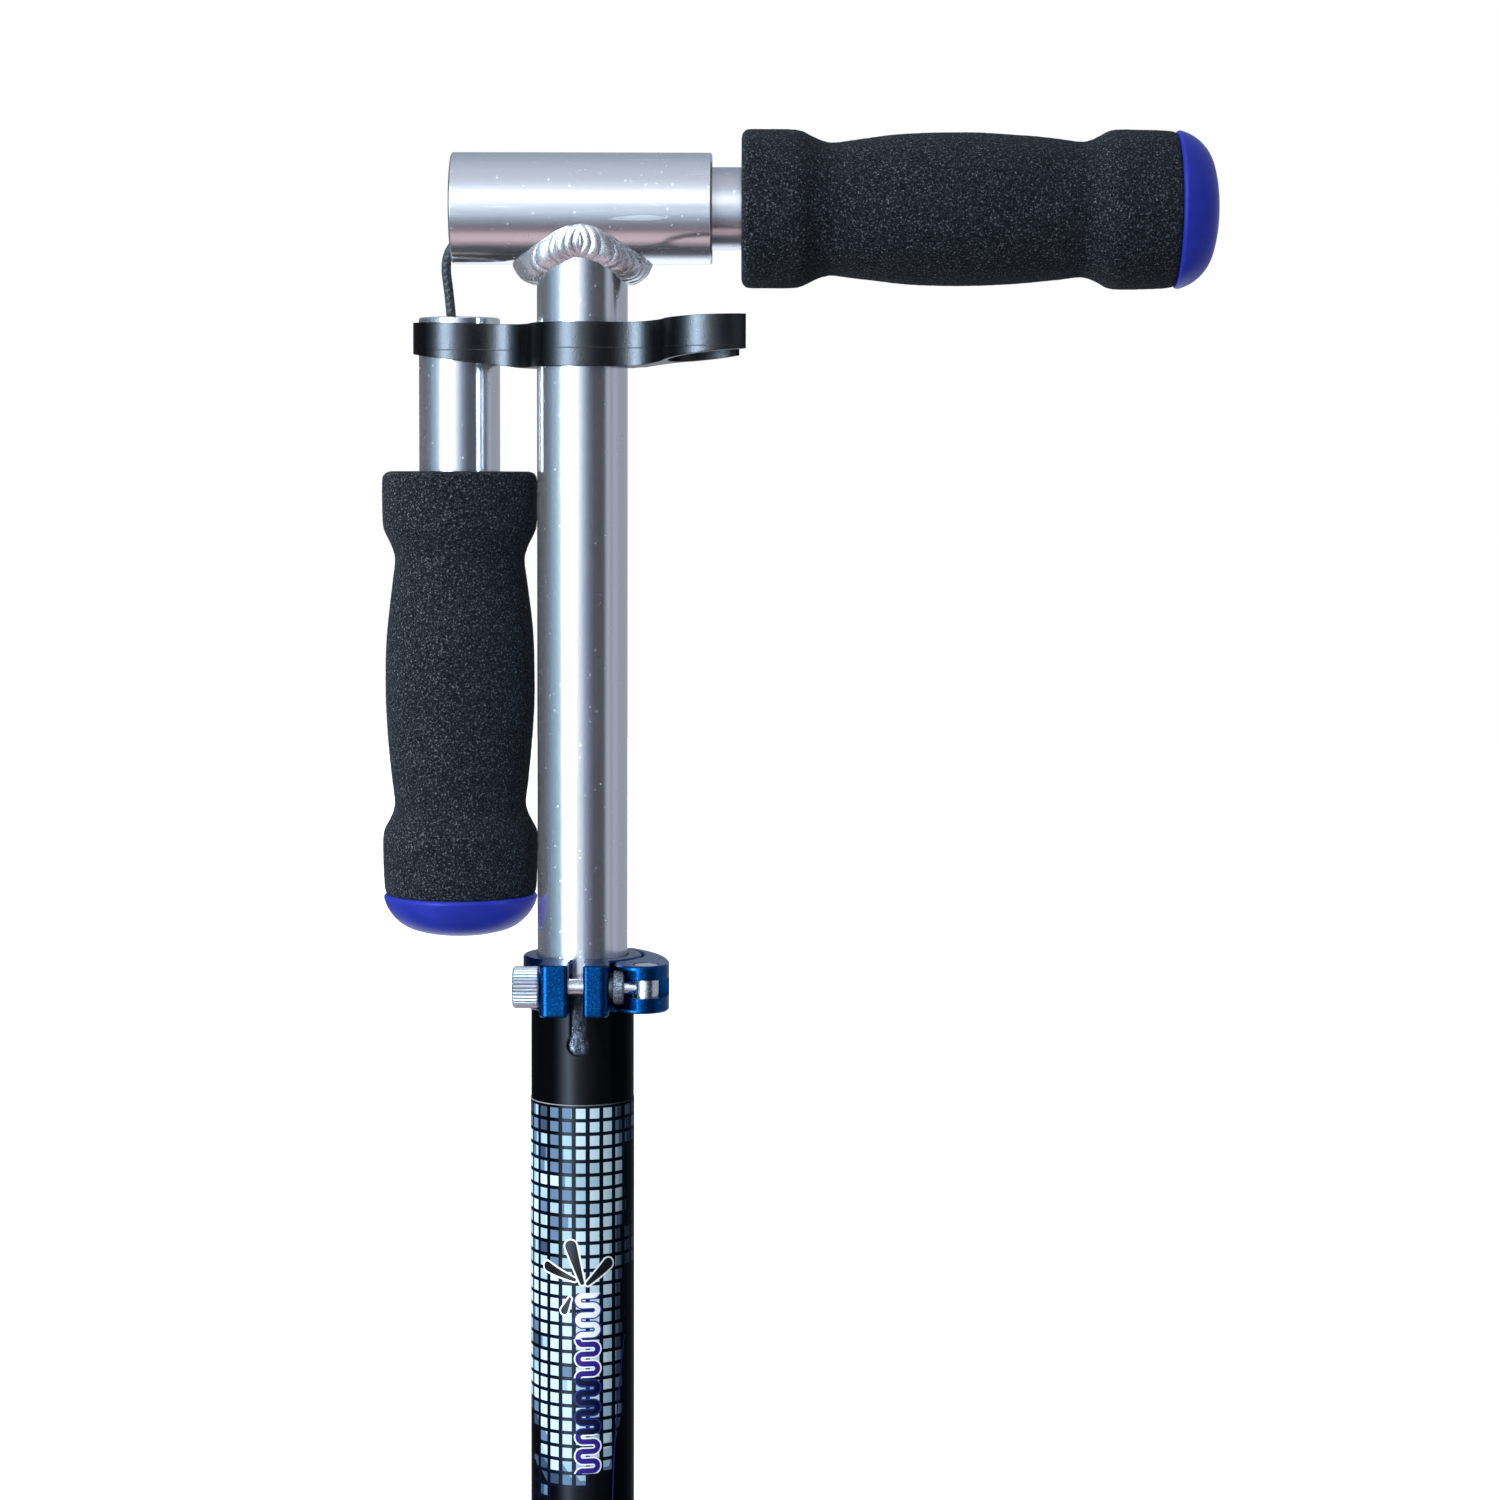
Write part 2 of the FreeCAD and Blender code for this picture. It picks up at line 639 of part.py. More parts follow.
def clip_arm(top_rise):
    """One lobe and its web, along +X from the stem's axis."""
    to_ring = CLIP_RING_R + CLIP_FILLET_R
    to_lobe = CLIP_LOBE_R + CLIP_FILLET_R
    fillet_x = (to_ring**2 - to_lobe**2 + CLIP_REACH**2) / (2 * CLIP_REACH)
    fillet_y = math.sqrt(to_ring**2 - fillet_x**2)
    on_ring = vec(fillet_x, fillet_y) * (CLIP_RING_R / to_ring)
    lobe = vec(CLIP_REACH, 0)
    on_lobe = lobe + (vec(fillet_x, fillet_y) - lobe) * (CLIP_LOBE_R / to_lobe)
    low, high = CLIP_BOTTOM - 1, CLIP_TOP + top_rise + 1
    corners = [
        vec(CLIP_RING_BORE_R / 2, -on_ring.y),
        vec(on_lobe.x, -on_lobe.y),
        vec(on_lobe.x, on_lobe.y),
        vec(CLIP_RING_BORE_R / 2, on_ring.y),
    ]
    web = upright(chain(corners + corners[:1]), low, high)
    for side in (-1, 1):
        web = web.cut(post(CLIP_FILLET_R, low - 1, high + 1, fillet_x, side * fillet_y))
    arm = web.fuse(post(CLIP_LOBE_R, low, high, CLIP_REACH))
    # the top and the underside both rise towards the end of the arm
    profile = [
        vec(0, 0, CLIP_BOTTOM),
        vec(CLIP_TAPER_START, 0, CLIP_BOTTOM),
        vec(CLIP_TAPER_END, 0, CLIP_BOTTOM + CLIP_TAPER_RISE),
        vec(CLIP_TAPER_END, 0, CLIP_TOP + top_rise),
        vec(CLIP_TAPER_START, 0, CLIP_TOP),
        vec(0, 0, CLIP_TOP),
    ]
    slab = face_of(chain(profile + profile[:1])).extrude(vec(0, 2 * PAST, 0))
    slab.translate(vec(0, -PAST, 0))
    arm = arm.common(slab)
    first, last = CLIP_LOBE_MOUTH
    mouth = wedge(CLIP_REACH, 0, first, last, CLIP_LOBE_R + 4, low - 1, high + 1)
    return arm.cut(post(CLIP_LOBE_BORE_R, low - 1, high + 1, CLIP_REACH)).cut(mouth)


def grip_clip():
    """A ring on the stem with an arm on each side, in its own frame and then turned on the stem."""
    right = clip_arm(CLIP_TOP_RISE_RIGHT)
    left = clip_arm(CLIP_TOP_RISE_LEFT).mirror(ORIGIN, X_AXIS)
    body = post(CLIP_RING_R, CLIP_BOTTOM, CLIP_TOP).fuse([right, left]).removeSplitter()
    low, high = CLIP_BOTTOM - 1, CLIP_TOP + 1
    body = body.cut(post(CLIP_RING_BORE_R, low, high))
    half = CLIP_RING_OPENING / 2
    body = body.cut(wedge(0, 0, 90 - half, 90 + half, CLIP_RING_R + 4, low, high))
    body.rotate(ORIGIN, Z_AXIS, CLIP_TURN)
    return body


# ---------------------------------------------------------------- shock cord


def cord_route():
    """The cord's corner points, and the radius of the arc at each inner one."""
    stowed = left_axis()
    right_end = vec(SLEEVE_HALF - TUBE_INSERTED + CORD_END, 0, SLEEVE_Z)
    over_rim = vec(-44.0, 5.0, SLEEVE_Z - 7.8)
    in_tube = vec(stowed.x - 1.4, stowed.y - 7.6, LEFT_TUBE_TOP - 1.0)
    left_end = stowed + vec(0, 0, LEFT_TUBE_TOP - CORD_END)
    return [right_end, over_rim, in_tube, left_end], [CORD_MOUTH_RADIUS, 60.0]


def bungee_cord():
    points, radii = cord_route()
    edges = []
    length = 0.0
    start = points[0]
    for before, corner, after, radius in zip(points, points[1:], points[2:], radii):
        back = (before - corner).normalize()
        on = (after - corner).normalize()
        half_turn = (math.pi - back.getAngle(on)) / 2
        reach = radius * math.tan(half_turn)
        first, last = corner + back * reach, corner + on * reach
        to_centre = (back + on).normalize()
        middle = corner + to_centre * (radius / math.cos(half_turn) - radius)
        edges += [line(start, first), arc(first, middle, last)]
        length += (first - start).Length + 2 * half_turn * radius
        print(f"cord arc: radius {radius:.1f} mm, turn {math.degrees(2 * half_turn):.1f} degrees")
        start = last
    edges.append(line(start, points[-1]))
    length += (points[-1] - start).Length
    path = Part.Wire(edges)
    end = Part.Wire([Part.Circle(points[0], points[1] - points[0], CORD_R).toShape()])
    cord = path.makePipeShell([end], True, False)
    expected = math.pi * CORD_R**2 * length
    print(f"cord length {length:.1f} mm, volume {cord.Volume:.1f}, section times length {expected:.1f}")
    return cord


# ------------------------------------------------------- clamp for the fork


def steerer_clamp():
    ring = post(FORK_CLAMP_R, FORK_CLAMP_BOTTOM, FORK_CLAMP_TOP)
    rounds = (0, 0, FORK_EAR_ROUND, FORK_EAR_ROUND)
    ears = upright(
        rounded_rectangle((-FORK_EAR_HALF, FORK_EAR_HALF), (OUTER_R / 2, FORK_EAR_BACK), rounds),
        FORK_CLAMP_BOTTOM,
        FORK_CLAMP_TOP,
    )
    clamp = ring.fuse(ears).removeSplitter()
    clamp = softened(clamp, 0.8, at_height(FORK_CLAMP_BOTTOM, FORK_CLAMP_TOP))
    low, high = FORK_CLAMP_BOTTOM - 1, FORK_CLAMP_TOP + 1
    clamp = clamp.cut(post(OUTER_R, low, high))
    clamp = clamp.cut(block((-FORK_EAR_GAP, FORK_EAR_GAP), (0, PAST), (low, high)))
    for z in FORK_BOLT_Z:
        clamp = clamp.cut(bar(FORK_BOLT_HOLE_R, -PAST, PAST, FORK_BOLT_Y, z))
    return clamp


def hexagon(across_flats, start, end, y, z):
    """A hexagonal bar along X."""
    radius = across_flats / math.sqrt(3)
    corners = []
    for i in range(6):
        a = math.radians(60 * i)
        corners.append(vec(start, y + radius * math.cos(a), z + radius * math.sin(a)))
    return face_of(chain(corners + corners[:1])).extrude(vec(end - start, 0, 0))


def steerer_bolt(z):
    end = FORK_EAR_HALF + FORK_HEAD
    shank = bar(FORK_BOLT_R, -FORK_EAR_HALF - FORK_NUT - 1.0, FORK_EAR_HALF, FORK_BOLT_Y, z)
    head = bar(FORK_HEAD_R, FORK_EAR_HALF, end, FORK_BOLT_Y, z)
    rim = [e for e in head.Edges if abs(e.BoundBox.XMin - end) < 1e-4]
    head = head.makeChamfer(0.6, rim)
    bolt = head.fuse(shank)
    return bolt.cut(hexagon(FORK_SOCKET_AF, end - FORK_SOCKET, end + 1, FORK_BOLT_Y, z))


def steerer_nut(z):
    start = -FORK_EAR_HALF - FORK_NUT
    nut = hexagon(FORK_NUT_AF, start, -FORK_EAR_HALF, FORK_BOLT_Y, z)
    corner_r = FORK_NUT_AF / math.sqrt(3)
    round_off = spun(
        chain(
            [
                vec(start, 0),
                vec(start, corner_r - 0.7),
                vec(start + 0.9, corner_r + 0.1),
                vec(-FORK_EAR_HALF, corner_r + 0.1),
                vec(-FORK_EAR_HALF, 0),
                vec(start, 0),
            ]
        )
    )
    round_off.translate(vec(0, FORK_BOLT_Y, z))
    return nut.common(round_off).cut(bar(FORK_BOLT_R, -PAST, PAST, FORK_BOLT_Y, z))


# ----------------------------------------------------------------- all parts


def all_parts():
    parts = {
        "outer_tube": outer_tube(),
        "decal_wrap": decal_wrap(),
        "top_shim": top_shim(),
        "clamp_collar": clamp_collar(),
        "clamp_bolt": clamp_bolt(),
        "lever_barrel": lever_barrel(),
        "thrust_washer": thrust_washer(),
        "cam_washer": cam_washer(),
        "knurled_nut": knurled_nut(),
        "clamp_lever": clamp_lever(),
        "stem_tube": stem_tube(),
        "stem_foot": stem_foot(),
        "crossbar_sleeve": crossbar_sleeve(),
        "sleeve_bush_right": sleeve_bush(1),
        "sleeve_bush_left": sleeve_bush(-1),
        "weld_bead": weld_bead(),
        "height_spring": in_stem(band_spring(HEIGHT_BAND_R, HEIGHT_BAND_BORE_R, 8.0, 0)),
        "height_button": in_stem(
            snap_button(HEIGHT_BUTTON_R, HEIGHT_BAND_R, HEIGHT_BUTTON_REACH)
        ),
        "grip_clip": grip_clip(),
        "bungee_cord": bungee_cord(),
        "steerer_clamp": steerer_clamp(),
    }
    for name, z in zip(("lower", "upper"), FORK_BOLT_Z):
        parts[f"steerer_bolt_{name}"] = steerer_bolt(z)
        parts[f"steerer_nut_{name}"] = steerer_nut(z)
    for side, placement in (("right", right_placement()), ("left", left_placement())):
        for name, shape in grip_parts().items():
            shape.Placement = placement.multiply(shape.Placement)
            parts[f"{side}_{name}"] = shape
    return parts


os.makedirs("parts", exist_ok=True)
for node, shape in all_parts().items():
    solids = shape.Solids
    if len(solids) != 1 or not shape.isValid():
        raise ValueError(f"{node} has {len(solids)} solids, valid {shape.isValid()}")
    solids[0].exportStep(f"parts/{node}.step")
    print(f"{node}: {solids[0].Volume / 1000:.3f} cm3")
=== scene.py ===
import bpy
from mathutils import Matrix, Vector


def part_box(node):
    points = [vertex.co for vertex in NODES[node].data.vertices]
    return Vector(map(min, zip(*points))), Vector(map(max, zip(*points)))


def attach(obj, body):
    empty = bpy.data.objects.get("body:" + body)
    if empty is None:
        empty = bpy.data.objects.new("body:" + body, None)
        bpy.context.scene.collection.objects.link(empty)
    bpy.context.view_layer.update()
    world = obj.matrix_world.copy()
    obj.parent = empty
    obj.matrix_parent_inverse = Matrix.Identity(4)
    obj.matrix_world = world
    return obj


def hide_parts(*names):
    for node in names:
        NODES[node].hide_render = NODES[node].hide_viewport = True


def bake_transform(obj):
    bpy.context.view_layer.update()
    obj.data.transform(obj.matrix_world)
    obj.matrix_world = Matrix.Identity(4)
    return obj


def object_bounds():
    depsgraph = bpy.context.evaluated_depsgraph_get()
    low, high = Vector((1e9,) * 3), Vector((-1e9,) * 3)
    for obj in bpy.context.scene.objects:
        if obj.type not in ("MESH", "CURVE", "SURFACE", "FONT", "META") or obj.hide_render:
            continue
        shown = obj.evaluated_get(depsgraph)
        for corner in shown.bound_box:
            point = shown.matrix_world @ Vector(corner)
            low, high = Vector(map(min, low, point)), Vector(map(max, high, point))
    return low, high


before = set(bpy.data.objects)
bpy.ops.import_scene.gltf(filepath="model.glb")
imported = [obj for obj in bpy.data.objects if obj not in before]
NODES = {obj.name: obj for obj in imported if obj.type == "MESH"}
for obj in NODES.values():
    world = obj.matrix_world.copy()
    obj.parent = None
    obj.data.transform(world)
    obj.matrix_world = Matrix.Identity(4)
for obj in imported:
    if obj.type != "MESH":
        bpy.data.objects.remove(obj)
cad_box = [list(corner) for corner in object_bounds()]

import math
import random

import bpy
import numpy as np
from mathutils import Matrix, Vector, noise

# Steering column of a folding kick scooter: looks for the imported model, in metres.
# Z runs up the column, X along the crossbar, and -Y is the side with the clamp's ears.
MM = 0.001

# Camera
CAMERA_PLACE = Vector((51.96, -1050.0, 526.07)) * MM
CAMERA_DOWN = 0.0561
CAMERA_ROLL = 0.0024
CAMERA_LENS = 81.37
CAMERA_SENSOR = 36.0
CAMERA_SHIFT = -0.05
CAMERA_NEAREST = 0.05
CAMERA_FURTHEST = 30.0

# Key light
KEY_PLACE = (-0.45, -0.52, 0.52)
KEY_AIM = Vector((0.0, 0.0, 0.48))
KEY_SIZE = 0.5
KEY_WATTS = 5.6

# Floor
FLOOR_HALF = 6.0
FLOOR_GAP = 0.2 * MM
FLOOR_GLOW = 0.55

# Colours and wear of the polished tubes. The patch is where along X it starts, is full and ends.
TONE_STEM = (0.83, 0.84, 0.87)
# The right handle tube's tone is darker than the stem's: painted shade on the same aluminium
TONE_HANDLE_SHADED = (0.70, 0.70, 0.72)
SLEEVE_WORN = (2.0 * MM, 22.0 * MM, 42.0 * MM)
# A higher value leaves fewer marks
PITS_FEW = 0.93
PITS_WORN = 0.72
SCRATCHES_FEW = 0.735
SCRATCHES_WORN = 0.66

# Sizes shared with the CAD model
STEM_R = 14.0 * MM
SLEEVE_R = 17.1 * MM
SLEEVE_Z = 610.8 * MM
OUTER_R = 16.15 * MM
WRAP_TOP = 335.3 * MM
CLIP_PARTING_Z = 567.6 * MM
NUT_Y = -21.0 * MM
NUT_Z = 372.6 * MM
NUT_RIDGES = 34.0
# Heights over which painted shade darkens the shim higher up the slit
SHIM_SHADE_START_Z = 354.0 * MM
SHIM_SHADE_FULL_Z = 362.0 * MM
CORD_R = 1.5 * MM


# ------------------------------------------------------------------ materials


# The mix node's colour sockets, by number because its number and vector sockets share their names
MIX_COLOUR_A = 6
MIX_COLOUR_B = 7
MIX_COLOUR_RESULT = 2
# What is left of a gloss level where the surface has turned away
GLOSS_LEFT = 0.06


class Shader:
    """A procedural material built round one Principled shader."""

    def __init__(self, name, tree=None):
        if tree is None:
            self.material = bpy.data.materials.new(name)
            self.material.use_nodes = True
            tree = self.material.node_tree
            tree.nodes.clear()
        self.tree = tree

    def add(self, kind, inputs=None, **settings):
        node = self.tree.nodes.new(kind)
        for key, value in settings.items():
            setattr(node, key, value)
        for key, value in (inputs or {}).items():
            self.feed(node.inputs[key], value)
        return node

    def feed(self, socket, value):
        if isinstance(value, bpy.types.NodeSocket):
            self.tree.links.new(value, socket)
        else:
            socket.default_value = value

    def surface(self, bump=None, **values):
        """The Principled shader and the output. Underscores in a name stand for spaces."""
        principled = self.add("ShaderNodeBsdfPrincipled")
        for key, value in values.items():
            self.feed(principled.inputs[key.replace("_", " ")], value)
        if bump is not None:
            self.feed(principled.inputs["Normal"], bump)
        output = self.add("ShaderNodeOutputMaterial")
        self.feed(output.inputs["Surface"], principled.outputs["BSDF"])
        return self.material

    def place(self):
        """Position in the piece's own frame, which moves with it."""
        return self.add("ShaderNodeTexCoord").outputs["Object"]

    def scaled(self, vector, scale):
        return self.add("ShaderNodeMapping", {"Vector": vector, "Scale": scale}).outputs["Vector"]

    def maths(self, operation, a, b=0.0, c=0.0):
        node = self.add("ShaderNodeMath", {0: a, 1: b, 2: c}, operation=operation)
        return node.outputs["Value"]

    def split(self, vector):
        return self.add("ShaderNodeSeparateXYZ", {"Vector": vector}).outputs

    def joined(self, x, y, z=0.0):
        return self.add("ShaderNodeCombineXYZ", {"X": x, "Y": y, "Z": z}).outputs["Vector"]

    def noise(self, vector, scale, detail=2.0, roughness=0.5):
        node = self.add(
            "ShaderNodeTexNoise",
            {"Vector": vector, "Scale": scale, "Detail": detail, "Roughness": roughness},
        )
        return node.outputs["Fac"]

    def cells(self, vector, scale, output="Distance", randomness=1.0):
        node = self.add(
            "ShaderNodeTexVoronoi", {"Vector": vector, "Scale": scale, "Randomness": randomness}
        )
        return node.outputs[output]

    def spread(self, value, low, high, to_low=0.0, to_high=1.0):
        """A value taken from one range to another and held inside it."""
        node = self.add(
            "ShaderNodeMapRange",
            {"Value": value, "From Min": low, "From Max": high, "To Min": to_low, "To Max": to_high},
        )
        return node.outputs["Result"]

    def blend(self, factor, a, b):
        node = self.add("ShaderNodeMix", {0: factor, MIX_COLOUR_A: a, MIX_COLOUR_B: b}, data_type="RGBA")
        return node.outputs[MIX_COLOUR_RESULT]

    def ramp(self, value, stops, interpolation="LINEAR"):
        """Colours at positions from 0 to 1."""
        node = self.add("ShaderNodeValToRGB", {"Fac": value})
        node.color_ramp.interpolation = interpolation
        elements = node.color_ramp.elements
        while len(elements) < len(stops):
            elements.new(0.5)
        for element, (position, colour) in zip(elements, stops):
            element.position = position
            element.color = colour
        return node.outputs["Color"]

    def bump(self, height, distance, strength=1.0, normal=None):
        inputs = {"Height": height, "Distance": distance, "Strength": strength}
        if normal is not None:
            inputs["Normal"] = normal
        return self.add("ShaderNodeBump", inputs).outputs["Normal"]

    def face_on(self, level, start, end):
        """A gloss level that fades out where the surface turns away."""
        facing = self.add("ShaderNodeLayerWeight", {"Blend": 0.5}).outputs["Facing"]
        return self.spread(facing, start, end, level, GLOSS_LEFT * level)

    def worn_edge(self, radius):
        """A normal that rounds sharp edges a little."""
        return self.add("ShaderNodeBevel", {"Radius": radius}, samples=4).outputs["Normal"]


def rgb(red, green, blue):
    return (red, green, blue, 1.0)


def along(axis, with_it, across):
    """A scale that stretches a texture along one axis."""
    return tuple(with_it if name == axis else across for name in "XYZ")


def polished_aluminium(axis, name, tone, smooth, worn=None):
    """Drawn and polished tube: fine lines along it, tiny pits and a few hairline scratches.
    It has more marks in a worn patch, given as where along X it starts, is full and ends."""
    s = Shader(name)
    place = s.place()
    lines = s.noise(s.scaled(place, along(axis, 14.0, 1500.0)), 1.0, detail=3.0, roughness=0.6)
    haze = s.noise(place, 55.0, detail=3.0, roughness=0.6)
    pits = s.cells(place, 640.0)
    chosen = s.split(s.cells(place, 640.0, "Color"))["X"]
    few = PITS_FEW
    scratched = SCRATCHES_FEW
    if worn is not None:
        along_x = s.split(place)["X"]
        start, full, end = worn
        patch = s.maths("MULTIPLY", s.spread(along_x, start, full), s.spread(along_x, end, full))
        few = s.spread(patch, 0.0, 1.0, PITS_FEW, PITS_WORN)
        scratched = s.spread(patch, 0.0, 1.0, SCRATCHES_FEW, SCRATCHES_WORN)
    pit = s.maths("MULTIPLY", s.spread(pits, 0.30, 0.12), s.maths("GREATER_THAN", chosen, few))
    slanted = s.add(
        "ShaderNodeMapping",
        {"Vector": place, "Rotation": (0.5, 0.7, 0.4), "Scale": (26.0, 900.0, 420.0)},
    ).outputs["Vector"]
    above = s.maths("SUBTRACT", s.noise(slanted, 1.0, detail=1.0), scratched)
    scratch = s.spread(above, 0.0, 0.045)
    marks = s.maths("MAXIMUM", pit, s.maths("MULTIPLY", scratch, 0.6))
    colour = s.blend(marks, rgb(*tone), rgb(0.97, 0.98, 1.0))
    roughness = s.spread(lines, 0.25, 0.75, smooth, smooth + 0.07)
    roughness = s.maths("ADD", roughness, s.spread(haze, 0.3, 0.7, 0.0, 0.05))
    roughness = s.maths("ADD", roughness, s.maths("MULTIPLY", marks, 0.25))
    height = s.maths("SUBTRACT", s.maths("MULTIPLY", lines, 0.35), marks)
    normal = s.bump(height, 0.02 * MM, strength=0.6, normal=s.worn_edge(0.35 * MM))
    return s.surface(bump=normal, Base_Color=colour, Metallic=0.94, Roughness=roughness)


def weld_metal():
    """The weld: bright crests, a faint heat tint in patches and a fine grain."""
    s = Shader("weld_metal")
    place = s.place()
    tint = s.noise(place, 170.0, detail=2.0)
    colour = s.ramp(
        tint,
        [
            (0.42, rgb(0.80, 0.81, 0.85)),
            (0.60, rgb(0.70, 0.68, 0.71)),
            (0.75, rgb(0.54, 0.49, 0.51)),
        ],
    )
    grain = s.noise(place, 2200.0, detail=3.0, roughness=0.6)
    normal = s.bump(grain, 0.04 * MM, strength=0.7)
    roughness = s.spread(grain, 0.3, 0.7, 0.22, 0.35)
    return s.surface(bump=normal, Base_Color=colour, Metallic=0.86, Roughness=roughness)


def blue_anodised(name, gain):
    """Machined and anodised aluminium, with a fine sparkle. The gain makes it lighter."""
    s = Shader(name)
    place = s.place()
    sparkle = s.cells(place, 3800.0, "Color")
    glint = s.split(sparkle)["X"]
    cloud = s.noise(place, 90.0, detail=2.0)
    deep = rgb(0.0006 * gain, 0.040 * gain, 0.150 * gain)
    light = rgb(0.0010 * gain, 0.050 * gain, 0.178 * gain)
    base = s.blend(s.spread(cloud, 0.35, 0.65), deep, light)
    colour = s.blend(s.spread(glint, 0.80, 1.0, 0.0, 0.5), base, rgb(0.012, 0.19, 0.44))
    roughness = s.spread(glint, 0.0, 1.0, 0.24, 0.36)
    turned = s.noise(s.scaled(place, (300.0, 300.0, 4200.0)), 1.0, detail=1.0)
    height = s.maths("ADD", s.maths("MULTIPLY", glint, 0.6), s.maths("MULTIPLY", turned, 0.4))
    normal = s.bump(height, 0.012 * MM, strength=0.6, normal=s.worn_edge(0.45 * MM))
    return s.surface(
        bump=normal,
        Base_Color=colour,
        Metallic=1.0,
        Roughness=roughness,
        Coat_Weight=0.05,
        Coat_Roughness=0.15,
    )


# Gloss of the black paint: its level, and the facing values where it starts to fade and has faded
PAINT_GLOSS = (0.21, 0.04, 0.20)


def tube_paint(s, place):
    """Roughness and normal of the gloss black paint, with a faint orange peel."""
    peel = s.noise(place, 420.0, detail=1.0)
    dust = s.noise(place, 5200.0, detail=2.0)
    roughness = s.spread(dust, 0.3, 0.7, 0.30, 0.36)
    normal = s.bump(peel, 0.02 * MM, strength=0.35, normal=s.worn_edge(0.7 * MM))
    return roughness, normal


def black_tube():
    s = Shader("black_tube")
    place = s.place()
    roughness, normal = tube_paint(s, place)
    mottle = s.noise(place, 900.0, detail=2.0)
    colour = s.blend(s.spread(mottle, 0.3, 0.7), rgb(0.0008, 0.001, 0.0014), rgb(0.0016, 0.0019, 0.0026))
    return s.surface(
        bump=normal,
        Base_Color=colour,
        Roughness=roughness,
        Specular_IOR_Level=s.face_on(*PAINT_GLOSS),
    )


# Printed wrap: a grid of small squares with a few abstract shapes over it
GRID_ACROSS = 4.33 * MM
GRID_DOWN = 4.24 * MM
SQUARE_ACROSS = 0.69
SQUARE_DOWN = 0.735
GRID_SIDE_START = 1.30 * MM
GRID_TOP_START = 1.1 * MM
# Whole columns added before counting, so that no column has a negative number
COLUMNS_ADDED = 40
# How fast the clusters of light squares change from square to square, and where in the noise they lie
CLUSTER_ACROSS = 0.31
CLUSTER_DOWN = 0.19
CLUSTER_PLACE = 2.3
# Shade of the squares: how much single ones differ, and the darkest before the fades
SQUARE_SPREAD = 0.22
SQUARE_DARKEST = 0.33
# The fades: where each starts and is full, and the change in shade. The first three go round the tube,
# in radians from the front towards +X, and the last goes down it. The third is painted shade on the -X side.
FADES_AND_PAINTED_SHADE_ROUND = (
    (-0.45, 0.0, 0.10),
    (0.58, 1.08, -0.34),
    # painted shade: squares far round on the -X side are darkened
    (-0.6, -1.1, -0.10),
)
FADE_LOW = (238.0 * MM, 216.0 * MM, -0.24)
PAPER_WHITE = rgb(0.72, 0.80, 0.86)
INDIGO = rgb(0.025, 0.012, 0.19)
NAVY = rgb(0.002, 0.004, 0.022)
INK = rgb(0.0012, 0.0015, 0.0024)
# Each drop: its thin end, its round end (across, height), and the radius at each, in millimetres
DROPS = (
    ((0.6, 280.0), (-2.9, 291.4), 0.9, 2.1),
    ((-1.8, 281.0), (-11.0, 284.4), 0.8, 1.8),
    ((2.4, 279.8), (8.9, 285.6), 0.9, 2.0),
    ((-3.2, 275.0), (-5.0, 271.2), 0.7, 1.4),
)
DROP_OUTLINE = 0.26 * MM
# The wave down the front: upper end, lower end, outline colour and core colour of each stretch
WAVE = (
    (276.8, 262.4, rgb(0.02, 0.035, 0.25), PAPER_WHITE),
    (262.4, 250.2, PAPER_WHITE, INDIGO),
    (250.2, 232.6, rgb(0.012, 0.03, 0.20), NAVY),
    (232.6, 220.2, PAPER_WHITE, INDIGO),
)
WAVE_MIDDLE = 2.4 * MM
WAVE_STRAIGHT = 1.55 * MM
WAVE_PERIOD = 6.1 * MM
WAVE_CORE = 0.85 * MM
WAVE_OUTLINE = 1.30 * MM
TOP_LINE = 0.28 * MM
# The thin curve is a parabola on its side: where it turns back, how fast it opens towards +X,
# half its width, and its upper end
CURVE_ACROSS = 10.6 * MM
CURVE_HEIGHT = 205.0 * MM
CURVE_BEND = 1.6
CURVE_HALF_WIDTH = 0.22 * MM
CURVE_TOP = 262.0 * MM


def drop(s, across, height, thin, fat, thin_r, fat_r):
    """How far a point is outside a drop-shaped loop, in metres."""
    start = Vector(thin) * MM
    run = Vector(fat) * MM - start
    u = s.maths("SUBTRACT", across, start.x)
    v = s.maths("SUBTRACT", height, start.y)
    part = s.maths(
        "ADD",
        s.maths("MULTIPLY", u, run.x / run.length_squared),
        s.maths("MULTIPLY", v, run.y / run.length_squared),
    )
    part = s.spread(part, 0.0, 1.0)
    off_u = s.maths("SUBTRACT", u, s.maths("MULTIPLY", part, run.x))
    off_v = s.maths("SUBTRACT", v, s.maths("MULTIPLY", part, run.y))
    squares = s.maths("ADD", s.maths("MULTIPLY", off_u, off_u), s.maths("MULTIPLY", off_v, off_v))
    away = s.maths("SQRT", squares)
    return s.maths("SUBTRACT", away, s.spread(part, 0.0, 1.0, thin_r * MM, fat_r * MM))


def wave(s, across, height):
    """How far a point is from the middle of a wave of straight bars and half circles, in metres."""
    side = s.maths("SUBTRACT", across, WAVE_MIDDLE)
    beyond = s.maths("MAXIMUM", s.maths("SUBTRACT", s.maths("ABSOLUTE", side), WAVE_STRAIGHT), 0.0)
    other_side = s.maths("MULTIPLY", s.maths("LESS_THAN", side, 0.0), 0.5)
    turn = s.maths("FRACT", s.maths("ADD", s.maths("DIVIDE", height, WAVE_PERIOD), other_side))
    off_centre = s.maths("MULTIPLY", s.maths("SUBTRACT", turn, 0.5), WAVE_PERIOD)
    squares = s.maths("ADD", s.maths("MULTIPLY", beyond, beyond), s.maths("MULTIPLY", off_centre, off_centre))
    return s.maths("ABSOLUTE", s.maths("SUBTRACT", s.maths("SQRT", squares), WAVE_PERIOD / 4))


